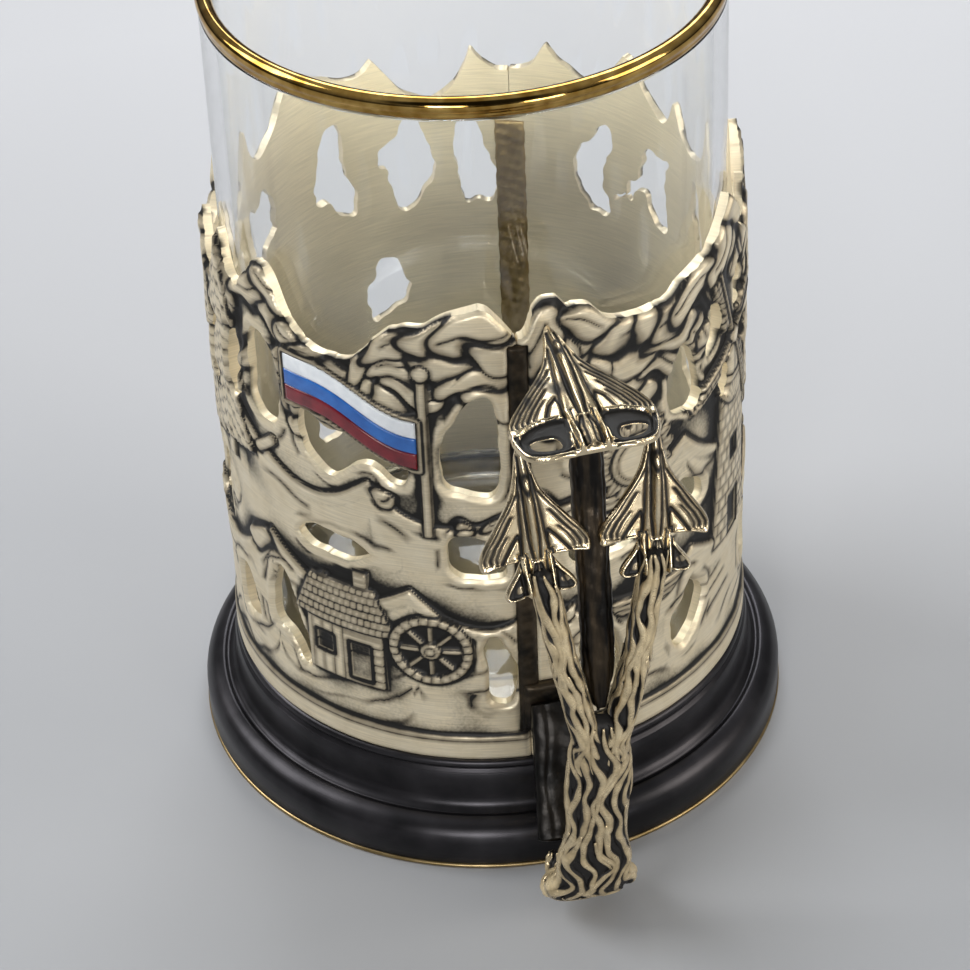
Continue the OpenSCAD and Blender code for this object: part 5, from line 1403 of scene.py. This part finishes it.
# curls of smoke round the knuckle: hooks and spirals that lie over the wisps
def curlLines(rows, curls):
    length = sum(float(np.linalg.norm(b[0] - a[0])) for a, b in zip(rows[:-1], rows[1:]))
    lines = []
    for share, turn, reach, sweep, first, thick in curls:
        halfW = rows[int(share * (len(rows) - 1))][3]
        line = []
        for i in range(27):
            f = i / 26
            angle = math.radians(first + sweep * f)
            r = reach * (1 - 0.55 * f)
            taper = min(1.0, (min(f * 1.6, 1.25 - f)) * 3.2 + 0.2)
            girth = thick * max(taper, 0.3)
            line.append(onSkin(rows, share + r * math.sin(angle) / length,
                               turn + r * math.cos(angle) / halfW, -girth * 0.9 - 0.04) + (girth,))
        lines.append(line)
    return lines


# The wisps' tree sweeps a round section along each guide line and lets it wander a little.
def wispTree():
    tree = bpy.data.node_groups.new("smokeWisps", "GeometryNodeTree")
    for name, kind in (("Guides", "Geometry"), ("Thickness", "Float"), ("Sides", "Int"),
                       ("Wander", "Float"), ("Seed", "Int"), ("Finish", "Material")):
        tree.interface.new_socket(name, in_out="INPUT", socket_type="NodeSocket" + kind)
    tree.interface.new_socket("Wisps", in_out="OUTPUT", socket_type="NodeSocketGeometry")
    given = addNode(tree, "NodeGroupInput")
    curve = addNode(tree, "GeometryNodeMeshToCurve", {"Mesh": given.outputs["Guides"]})
    here = addNode(tree, "GeometryNodeInputPosition")
    drift = addNode(tree, "ShaderNodeTexNoise",
                    {"noise_dimensions": "4D", "Vector": here, "W": given.outputs["Seed"], "Scale": 420.0,
                     "Detail": 1.0})
    centred = addNode(tree, "ShaderNodeVectorMath",
                      {"operation": "SUBTRACT", 0: drift.outputs["Color"], 1: (0.5, 0.5, 0.5)})
    shift = addNode(tree, "ShaderNodeVectorMath",
                    {"operation": "SCALE", 0: centred, "Scale": given.outputs["Wander"]})
    moved = addNode(tree, "GeometryNodeSetPosition", {"Geometry": curve, "Offset": shift})
    girth = addNode(tree, "GeometryNodeInputNamedAttribute", {"data_type": "FLOAT", "Name": "girth"})
    size = addNode(tree, "ShaderNodeMath",
                   {"operation": "MULTIPLY", 0: girth.outputs["Attribute"], 1: given.outputs["Thickness"]})
    section = addNode(tree, "GeometryNodeCurvePrimitiveCircle",
                      {"Resolution": given.outputs["Sides"], "Radius": 1.0})
    swept = addNode(tree, "GeometryNodeCurveToMesh", {
        "Curve": moved, "Profile Curve": section, "Scale": size, "Fill Caps": True})
    whole = addNode(tree, "GeometryNodeRealizeInstances", {"Geometry": swept})
    painted = addNode(tree, "GeometryNodeSetMaterial",
                      {"Geometry": whole, "Material": given.outputs["Finish"]})
    addNode(tree, "NodeGroupOutput", {0: painted})
    return tree


def growWisps(tree, lines, rows, seed, material):
    points = [p[:3] for line in lines for p in line]
    girth = [p[3] for line in lines for p in line]
    edges, start = [], 0
    for line in lines:
        edges += [(start + i, start + i + 1) for i in range(len(line) - 1)]
        start += len(line)
    mesh = bpy.data.meshes.new("wispGuides")
    mesh.from_pydata((np.array(points) * mm).tolist(), edges, [])
    layer = mesh.attributes.new("girth", "FLOAT", "POINT")
    layer.data.foreach_set("value", np.array(girth, dtype=np.float32))
    guides = bpy.data.objects.new("wispGuides", mesh)
    bpy.context.scene.collection.objects.link(guides)
    modifier = guides.modifiers.new("wisps", "NODES")
    modifier.node_group = tree
    socket = {item.name: item.identifier for item in tree.interface.items_tree if item.in_out == "INPUT"}
    modifier[socket["Thickness"]] = mm
    modifier[socket["Sides"]] = 12
    modifier[socket["Wander"]] = 0.22 * mm
    modifier[socket["Seed"]] = seed
    modifier[socket["Finish"]] = material
    bpy.context.view_layer.update()
    shaped = bpy.data.meshes.new_from_object(guides.evaluated_get(bpy.context.evaluated_depsgraph_get()))
    flat = np.zeros(len(shaped.vertices) * 3, dtype=np.float32)
    shaped.vertices.foreach_get("co", flat)
    points = flat.reshape(-1, 3) / mm
    faces = [tuple(p.vertices) for p in shaped.polygons]
    bpy.data.objects.remove(guides)
    over = overSkin(rows, points)
    # a wisp is pale where it stands up and black where it sinks into the core: the patina of a rubbed
    # casting, with painted shade on its low flanks
    edge = 0.67 + over * 1.9 + 0.06 * np.sin(points[:, 2] * 1.9 + points[:, 1] * 2.3)
    return points, faces, edge, np.zeros(len(points))


# how far the side trails have run together at a share of the handle's line: 0 at the aircraft, 1 at the fork
def mergeRun(at):
    return (at - handle["trailAt"]) / (handle["mergeAt"] - handle["trailAt"])


# a side trail's distance from the middle
def trailOut(run):
    return handle["merged"] + (plane["side"]["out"] - handle["merged"]) * max(1 - run, 0.0) ** 0.9


def smokeColumn():
    tree = wispTree()
    rows = []
    steps = 250
    for k in range(steps + 1):
        at = handle["forkAt"] + (1 - handle["forkAt"]) * k / steps
        t = at * lastStation
        place, ahead = alongLine(handleLine, t)
        swell = max(0.0, 1 - abs(at - handle["swellAt"]) / handle["swellReach"])
        swell = swell * swell * (3 - 2 * swell)
        # two lobes swell where the smoke billows at the knuckle
        lobe = 1 + 0.05 * math.sin(t * 4.0) + 0.07 * swell * math.sin(t * 5.6)
        wide = handle["columnWide"] + (handle["knuckleWide"] - handle["columnWide"]) * swell
        halfW = wide / 2 * min(lobe, 1.06)
        neck = 0.74 + 0.26 * smooth(np.array((at - handle["forkAt"]) / 0.05))
        rows.append((place, ahead, 0.0, halfW * float(neck), handle["columnThick"] / 2 * (0.9 + 0.1 * swell)))
    parts = [strand(rows, 96, coreCarve, roundEnds=(1.6, 2.4))]
    lines = wispLines(rows, 16, 0.9, 4, ((0.0, 0.42), (0.3, 0.72), (0.6, 1.0)), start=0.01, stop=0.985)
    # share, turn, reach in mm, sweep and start in degrees, thickness in mm
    lines += curlLines(rows, ((0.66, 0.62, 2.7, 210, 70, 1.15), (0.73, -0.62, 2.9, -220, 110, 1.2),
                              (0.8, 0.2, 2.4, 200, 20, 1.1), (0.7, 1.35, 2.4, -210, 50, 1.05),
                              (0.72, -1.4, 2.4, 210, 130, 1.05), (0.87, -0.5, 2.0, -190, -20, 1.0),
                              (0.86, 0.9, 2.0, 190, 50, 0.95)))
    parts.append(growWisps(tree, lines, rows, 3, columnMaterial))
    for side in (-1, 1):
        rows = []
        steps = 150
        for k in range(steps + 1):
            at = handle["trailAt"] - 0.004 + (handle["mergeAt"] + 0.075 - handle["trailAt"]) * k / steps
            place, ahead = alongLine(handleLine, at * lastStation)
            run = min(max(mergeRun(at), 0.0), 1.3)
            halfW = handle["trail"] / 2 * (1 + 0.1 * min(run, 1.0))
            thin = (0.94 - 0.2 * (1 - min(run, 1.0))) * (1 - max(run - 1.0, 0.0))
            rows.append((place, ahead, side * trailOut(run), halfW, handle["columnThick"] / 2 * thin))
        parts.append(strand(rows, 64, coreCarve, roundEnds=(1.0, 2.2)))
        lines = wispLines(rows, 10, 0.72, 14 + side, ((0.0, 0.5), (0.36, 1.0)), wild=0.13, start=0.005,
                          stop=0.98)
        parts.append(growWisps(tree, lines, rows, 7 + side, columnMaterial))
    return parts


# long runs of casting skin: shallow flutes that follow the strand, for the black trail and the arm
def fluteCarve(count, seed, deep=0.16):
    rng = np.random.default_rng(seed)
    shift = rng.uniform(0, 6.28, 6)

    def carve(s, w, girth):
        q = 2 * math.pi * w / girth
        phase = count * q + 0.8 * np.sin(0.22 * s + shift[0]) + 0.5 * np.sin(0.55 * s + 2 * q + shift[1])
        main = np.abs((phase + math.pi) % (2 * math.pi) - math.pi) * girth / (2 * math.pi * count)
        skin = 0.05 * np.sin(0.9 * s + 3 * q + shift[2]) + 0.03 * np.sin(2.3 * s - 4 * q + shift[3])
        return skin - deep * np.exp(-(main / 0.3) ** 2) - 0.08, main + 0.1
    return carve


def spineStrand():
    insets = np.array([[0, 0.4], [0.08, 0.7], [0.165, 1.1], [0.225, 1.17], [0.27, 0.95], [0.33, 0.68],
                       [0.446, 0.4]])
    rows = []
    steps = 190
    for k in range(steps + 1):
        at = 0.444 * k / steps
        place, ahead = alongLine(handleLine, at * lastStation)
        inset = handle["spineThick"] * np.interp(at, insets[:, 0], insets[:, 1])
        place = place - inset * np.array([-ahead[1], ahead[0]])
        run = mergeRun(at)
        half = handle["spineWide"] / 2
        if run > 0:
            half = min(half, trailOut(run) - handle["trail"] / 2 * (1 + 0.1 * run) - 0.02)
        neck = 0.7 + 0.3 * min(at / 0.14, 1.0)
        rows.append((place, ahead, 0.0, max(half * neck, 0.25), handle["spineThick"] / 2))
    return [strand(rows, 72, fluteCarve(7, 8), roundEnds=(0.2, 0.6))]


def armStrand():
    rows = []
    steps = 70
    for k in range(steps + 1):
        place, ahead = alongLine(armLine, (len(armLine) - 1) * k / steps)
        flare = handle["armWide"] / 2 * (1 + 0.55 * k / steps)
        rows.append((place, ahead, 0.0, flare, handle["armThick"] / 2))
    return [strand(rows, 84, fluteCarve(8, 21, 0.12), roundEnds=(0.2, 1.2))]


# The aircraft: cast as thin plates, drawn from above (u along from the tail, v across, in mm)
plane = {"cell": 0.125,
         "lead": {"long": 22.25, "span": 18.2, "climb": 8.4, "nose": 36.5},
         "side": {"long": 20.2, "span": 13.8, "out": 7.107, "pitch": 103.5, "lean": 3.6,
                  "z": handle["top"] * 0.708}}
planeRise = plane["lead"]["long"] * math.sin(math.radians(plane["lead"]["climb"]))
plane["lead"]["z"] = handle["top"] - handle["spineThick"] * 0.8 - planeRise


# points given as shares of an aircraft's length and span
def scaled(shares, size):
    return [(x * size["long"], y * size["span"]) for x, y in shares]


# a value that runs along an aircraft through given ones
def alongPlane(sheet, size, shares, values):
    return np.interp(sheet["us"], np.array(shares) * size["long"], values)[None, :]


# the plan: distances to the wing and the tail, half widths of wing and body; together they make the outline
def planPlane(sheet, size, lead):
    u, a, long, span = sheet["u"], np.abs(sheet["v"]), size["long"], size["span"]
    wingPath = [(0.25, 0.0), (0.245, 0.12), (0.25, 0.2), (0.235, 0.36), (0.215, 0.47), (0.24, 0.497),
                (0.3, 0.497), (0.37, 0.45), (0.47, 0.345), (0.575, 0.235), (0.68, 0.145), (0.8, 0.09),
                (0.92, 0.052)]
    nose = [(long * 0.985, 0.018 * span), (long * 0.985, -1), (long * 0.25, -1)]
    wing = outlineDist(u, a, np.vstack([catmull(scaled(wingPath, size), 6), nose]))
    half = alongPlane(sheet, size, [x for x, y in wingPath[6:]] + [1.0],
                      [y * span for x, y in wingPath[6:]] + [0.2])
    if lead:
        tailPath = [(0.0, 0.0), (0.0, 0.1), (-0.004, 0.2), (0.004, 0.33), (0.035, 0.42), (0.1, 0.47),
                    (0.2, 0.497), (0.3, 0.49)]
    else:
        tailPath = [(0.03, 0.0), (0.02, 0.1), (0.0, 0.2), (0.0, 0.29), (0.03, 0.325), (0.08, 0.3),
                    (0.16, 0.215), (0.235, 0.15), (0.3, 0.1)]
    middle = [(long * 0.3, -1), (long * tailPath[0][0], -1)]
    tail = outlineDist(u, a, np.vstack([catmull(scaled(tailPath, size), 5), middle]))
    widths = [0.105 * span, 0.12 * span, 0.1 * span, 0.088 * span, 0.055 * span, 0.6, 0.22]
    bodyHalf = alongPlane(sheet, size, [0, 0.3, 0.45, 0.6, 0.8, 0.93, 1.0], widths)
    body = np.maximum(a - bodyHalf, np.maximum(-u + long * 0.012, u - long * 0.992))
    sheet["keep"] = np.minimum(np.minimum(wing, tail), body)
    return wing, tail, half, bodyHalf


def drawWing(sheet, size, lead, wing, half):
    u, v, a, long = sheet["u"], sheet["v"], np.abs(sheet["v"]), size["long"]
    sheet["high"] += 0.82 - 0.1 * (a / (size["span"] / 2)) ** 2
    # grooves fan out beside the leading edge, with pale lands between them: distance, width and reach of each
    fan = ((0.42, 0.15, 0.68), (0.98, 0.22, 0.55), (1.5, 0.13, 0.43))
    if lead:
        fan = ((0.42, 0.14, 0.72), (0.86, 0.2, 0.64), (1.36, 0.14, 0.58), (1.86, 0.24, 0.5),
               (2.4, 0.14, 0.42))
    fromEdge = (half - a) * 0.72
    onWing = np.maximum(wing, long * 0.265 - u)
    for at, wide, reach in fan:
        within = np.maximum(onWing + 0.12, u - reach * long)
        cut(sheet, everywhere, fromEdge - at + 0.05 * np.sin(u * 1.3), wide, 0.3, within)
    # an arch-shaped groove straddles each wing's root
    arch = ((0.25, 0.125), (0.37, 0.118), (0.425, 0.135), (0.38, 0.19), (0.26, 0.25 if lead else 0.31))
    cut(sheet, everywhere, strokeDist(u, a, scaled(arch, size)), 0.3, 0.36,
        np.maximum(long * 0.255 - u, wing + 0.1))
    # worn brown skin on every aircraft, and painted shade that darkens the front aircraft towards its nose
    worn = np.exp(-((u - 0.5 * long) / (0.16 * long)) ** 2)
    sheet["stain"] = 0.085 * smooth(0.5 + 0.8 * wobble(u, v, 3.2, 9)) * worn
    if lead:
        # painted shade over the front aircraft's forward part
        worn = smooth((u - 0.28 * long) / (0.1 * long))
        sheet["stain"] += 0.075 * smooth(0.55 + 0.5 * wobble(u, v, 4.5, 12)) * worn
    # bright rim along the outline
    sheet["high"] += 0.14 * np.exp(-((sheet["keep"] + 0.32) / 0.2) ** 2)


# the front aircraft's wing ends in a thin rim over a black hollow, open in its middle
def drawHollow(sheet, size, tail):
    u, a, long, span = sheet["u"], np.abs(sheet["v"]), size["long"], size["span"]
    edge = scaled(((0.045, 0.15), (0.04, 0.3), (0.075, 0.4), (0.15, 0.452), (0.225, 0.43), (0.262, 0.34),
                   (0.275, 0.2), (0.25, 0.125), (0.13, 0.13)), size)
    hollow = outlineDist(u, a, catmull(edge, 5, True))
    lay(sheet, everywhere, hollow - 0.24, 1.12, 0.25, 0.0, None)
    lay(sheet, everywhere, hollow, 0.34, 0.22, 0.0, None)
    sheet["edge"] = np.where(hollow < 0.0, 0.0, sheet["edge"])
    edge = scaled(((0.075, 0.2), (0.07, 0.29), (0.1, 0.372), (0.15, 0.395), (0.165, 0.33), (0.15, 0.22)),
                  size)
    sheet["keep"] = np.maximum(sheet["keep"], -outlineDist(u, a, catmull(edge, 5, True)))
    back = np.maximum(np.abs(tail + 0.62) - 0.3, np.maximum(0.13 * span - a, u - 0.22 * long))
    sheet["high"] -= 0.3 * smooth(0.5 - back / 0.2)
    sheet["stain"] += 0.3 * smooth(0.5 - back / 0.16)


# tailplanes: a bright rim round a dark, mottled panel
def drawTailplanes(sheet, size, tail):
    u, v = sheet["u"], sheet["v"]
    panel = np.maximum(tail + 0.4, u - size["long"] * 0.17)
    lay(sheet, everywhere, panel, 0.6, 0.22, 0.0, None)
    sheet["stain"] += 0.26 * smooth(0.5 - panel / 0.15) * smooth(0.75 + 0.5 * wobble(u, v, 2.4, 4))
    hinge = strokeDist(u, np.abs(v), scaled(((0.02, 0.24), (0.12, 0.2)), size))
    cut(sheet, everywhere, hinge, 0.2, 0.2, tail + 0.2)


# body: a low hump with one sharp bright crest from the nose to the engines
def drawBody(sheet, size, lead, bodyHalf):
    u, v, a, long = sheet["u"], sheet["v"], np.abs(sheet["v"]), size["long"]
    crestHalf = alongPlane(sheet, size, [0.24, 0.4, 0.62, 0.85, 1.0], [0.2, 0.5, 0.5, 0.34, 0.2])
    tall = alongPlane(sheet, size, [0.0, 0.05, 0.3, 0.52, 0.66, 0.78, 0.9, 1.0],
                      [1.35, 1.5, 1.75, 2.15, 2.3, 1.9, 1.3, 0.75])
    inBody = np.maximum(a - bodyHalf * 0.96, np.maximum(long * 0.02 - u, u - long * 0.985))
    hump = np.sqrt(np.clip(1 - (a / bodyHalf) ** 2, 0, 1))
    crest = np.sqrt(np.clip(1 - (a / crestHalf) ** 2, 0, 1)) * smooth((u - long * 0.22) / (long * 0.08))
    mask = smooth(0.5 - inBody / 0.3)
    ridge = np.maximum(0.7 + (tall - 0.7) * (0.55 * hump + 0.45 * crest), sheet["high"] * 0.8)
    sheet["high"] = sheet["high"] * (1 - mask) + ridge * mask
    sheet["edge"] = np.where(inBody < -0.05, 9.0, sheet["edge"])
    cut(sheet, everywhere, a - crestHalf - 0.2, 0.34 if lead else 0.26, 0.4,
        np.maximum(long * 0.26 - u, u - long * 0.93))
    cut(sheet, everywhere, a - bodyHalf - 0.05, 0.2, 0.25, np.maximum(long * 0.26 - u, u - long * 0.8))
    canopy = np.hypot((u - long * 0.76) / 2.6, v) - 0.36
    lay(sheet, everywhere, canopy, tall + 0.16, 0.25, 0.05, None)
    sheet["edge"] = np.minimum(sheet["edge"], np.abs(canopy - 0.08) + 0.1)


# two engines side by side, mottled ovals in a black outline, each between bright walls
def drawEngines(sheet, size, lead):
    u, v, a, long = sheet["u"], sheet["v"], np.abs(sheet["v"]), size["long"]
    share, nozzleHalf = (0.043, 0.4) if lead else (0.035, 0.34)
    course = scaled(((0.045, share), (0.16, share), (0.23, share * 0.55)), size)
    nozzle = strokeDist(u, a, course) - nozzleHalf + np.maximum(u - 0.12 * long, 0) * 0.1
    sheet["high"] += 0.25 * np.exp(-((nozzle - 0.16) / 0.16) ** 2)
    cut(sheet, everywhere, nozzle + 0.03, 0.2, 0.35)
    sheet["stain"] += 0.13 * smooth(0.5 - nozzle / 0.2) * smooth(0.7 + 0.6 * wobble(u, v, 1.6, 21))
    mouth = np.maximum(nozzle + 0.12, u - 0.035 * long)
    lay(sheet, everywhere, mouth, 0.75, 0.2, 0.0, None)
    sheet["edge"] = np.where(mouth < 0.0, 0.0, sheet["edge"])


# twin fins with a dark gully outside each
def drawFins(sheet, size, lead):
    u, a, long = sheet["u"], np.abs(sheet["v"]), size["long"]
    finAt = (0.088 if lead else 0.112) * size["span"]
    finDist = np.abs(a - finAt - (u - 0.1 * long) * 0.03)
    fin = np.maximum(finDist - 0.19, np.maximum(long * 0.004 - u, u - long * 0.28))
    finTop = alongPlane(sheet, size, [0.0, 0.06, 0.13, 0.28], [1.9, 2.2, 1.95, 1.0])
    gully = np.maximum(np.abs(finDist - 0.42) - 0.16, np.maximum(long * 0.02 - u, u - long * 0.3))
    sheet["high"] -= 0.3 * np.exp(-(np.maximum(gully, 0) / 0.12) ** 2)
    sheet["edge"] = np.where(gully < 0, 0.0, sheet["edge"])
    rise = smooth(0.5 - fin / 0.2)
    sheet["high"] = sheet["high"] * (1 - rise) + finTop * rise
    sheet["edge"] = np.where(fin < 0.03, 9.0, sheet["edge"])


def buildPlane(name, size, lead, place):
    long, span, cell = size["long"], size["span"], plane["cell"]
    us = np.arange(-cell * 3.3, long + cell * 4, cell)
    sheet = newSheet(us, np.arange(-span / 2 - cell * 3.4, span / 2 + cell * 4, cell))
    wing, tail, half, bodyHalf = planPlane(sheet, size, lead)
    drawWing(sheet, size, lead, wing, half)
    if lead:
        drawHollow(sheet, size, tail)
    else:
        drawTailplanes(sheet, size, tail)
    drawBody(sheet, size, lead, bodyHalf)
    drawEngines(sheet, size, lead)
    drawFins(sheet, size, lead)
    keep = sheet["keep"]
    high = blur(sheet["high"], 1) * 0.4 + sheet["high"] * 0.6 + 0.02 * wobble(sheet["u"], sheet["v"], 3.0, 5)
    # depth under the surroundings, painted black by the finish as patina and as painted shade, plus the
    # stains and the front aircraft's painted shade
    cavity = np.clip(blur(high, 3) - high, -1, 1) * 0.35 + sheet["stain"]
    high = high - 0.42 * np.clip(1 + keep / 0.3, 0, 1) ** 2
    high = np.clip(high, 0.22, 2.75)
    flat, marks, faces, rims = closeShell(sheet, keep, high, cavity, 1.1)
    droop = (0.9 if lead else 0.35) * (np.abs(flat[:, 1]) / (span / 2)) ** 3
    points = place(np.stack([flat[:, 0], flat[:, 1], marks.pop("high") - droop], 1))
    if not lead:
        faces = [tuple(reversed(f)) for f in faces]
    # an aircraft is patinated underneath as well
    del marks["plain"]
    piece = makePiece(name + "_cast", points, faces, "holder", [name], aircraftMaterial,
                      marks, flat)
    markSharp(piece, rims[1:])
    print(name, len(points), "points")


def placeLead(p):
    size = plane["lead"]
    c, s = math.cos(math.radians(size["climb"])), math.sin(math.radians(size["climb"]))
    x, z = p[:, 0] * c - p[:, 2] * s, p[:, 0] * s + p[:, 2] * c
    return np.stack([size["nose"] + size["long"] - x, -p[:, 1], size["z"] + z], 1)


def placeSide(side):
    size = plane["side"]
    c, s = math.cos(math.radians(size["pitch"])), math.sin(math.radians(size["pitch"]))
    lean = -side * math.radians(size["lean"])

    def place(p):
        x, z = c * p[:, 0] + s * p[:, 2], s * p[:, 0] - c * p[:, 2]
        y = p[:, 1] * math.cos(lean) - z * math.sin(lean)
        z = p[:, 1] * math.sin(lean) + z * math.cos(lean)
        return np.stack([handleOut - handle["columnThick"] * 0.58 + x, side * size["out"] + y,
                         size["z"] + z], 1)
    return place


points, faces, edge, hollow = joined(smokeColumn())
makePiece("smoke_column_cast", points, faces, "holder", ["smoke_column"], columnMaterial,
          {"edge": edge, "cavity": hollow})
points, faces = joined(spineStrand())[:2]
makePiece("handle_spine_cast", points, faces, "holder", ["handle_spine"], spineMaterial)
points, faces = joined(armStrand())[:2]
makePiece("lower_arm_cast", points, faces, "holder", ["lower_arm"], armMaterial)
print("handle strands made")
buildPlane("lead_aircraft", plane["lead"], True, placeLead)
buildPlane("left_aircraft", plane["side"], False, placeSide(-1))
buildPlane("right_aircraft", plane["side"], False, placeSide(1))


# the dark bar over the front seam and the arm's pad: soft-edged blocks bent round the sleeve
def bentBlock(middle, halfWide, low, high, inner, outer, bulge, cell=0.35):
    us = np.linspace(-halfWide, halfWide, max(int(halfWide * 2 / cell), 6) + 1)
    vs = np.linspace(low, high, int((high - low) / cell) + 1)
    points = []
    for outside in (True, False):
        for z in vs:
            for u in us:
                rim = min(halfWide - abs(u), z - low, high - z)
                soft = 0.28 * (1 - min(rim / 0.45, 1.0)) ** 2
                skin = 0.05 * math.sin(z * 1.9 + u * 2.3) + 0.04 * math.sin(z * 4.1 - u * 1.3)
                r = outer - soft + bulge * (1 - (u / halfWide) ** 2) + skin if outside else inner
                turn = math.radians(middle) + u / sleeve["wall"]
                points.append((r * math.cos(turn), r * math.sin(turn), z))
    points = np.array(points)
    return points, slabFaces(len(vs), len(us)), np.full(len(points), 9.0), np.zeros(len(points))


barLow = sleeve["foot"] + sleeve["band"] + 0.425
barHigh = sleeve["foot"] + 0.89 * sleeve["height"]
seamBar = {"middle": sleeve["front"], "halfWide": 1.3, "low": barLow, "high": barHigh, "inner": 35.3,
           "outer": 35.9, "bulge": 0.12}
armPad = {"middle": 0, "halfWide": 4.1, "low": barLow + 0.85, "high": 27.6, "inner": 35.3, "outer": 36.6,
          "bulge": 0.1}
points, faces = joined([bentBlock(**seamBar), bentBlock(**armPad)])[:2]
makePiece("front_seam_bar_cast", points, faces, "holder", ["front_seam_bar"], seamMaterial)

# the strip inside the rear seam, with the uneven skin of solder that ran
seam = {"wide": 4.6, "low": 19.0, "high": sleeve["foot"] + 0.78 * sleeve["height"], "outer": 34.08,
        "inner": 33.76, "cell": 0.3}
us = np.linspace(-seam["wide"] / 2, seam["wide"] / 2, int(seam["wide"] / seam["cell"]) + 1)
vs = np.linspace(seam["low"], seam["high"], int((seam["high"] - seam["low"]) / seam["cell"]) + 1)
points = []
for outside in (False, True):
    for z in vs:
        for u in us:
            rim = min(seam["wide"] / 2 - abs(u), z - seam["low"], seam["high"] - z)
            ragged = 0.16 * math.sin(z * 1.7) + 0.1 * math.sin(z * 4.3 + 1)
            skin = 0.07 * math.sin(z * 2.6 + u * 1.8) * math.cos(z * 1.1 - u * 2.9)
            skin += 0.05 * math.sin(z * 6.1 + u * 4.7)
            solder = 0.07 + skin * min(rim / 0.5, 1.0) + 0.16 * (1 - min(rim / 0.4, 1.0)) ** 2
            r = seam["outer"] if outside else seam["inner"] + solder
            turn = math.radians(sleeve["rear"]) + (u + ragged * u / seam["wide"] * 0.8) / sleeve["wall"]
            points.append((r * math.cos(turn), r * math.sin(turn), z))
points = np.array(points)
faces = facedOut(points, slabFaces(len(vs), len(us)))
makePiece("rear_seam_strip_soldered", points, faces, "holder", ["rear_seam_strip"],
          stripMaterial)
print("bar, pad and strip made")
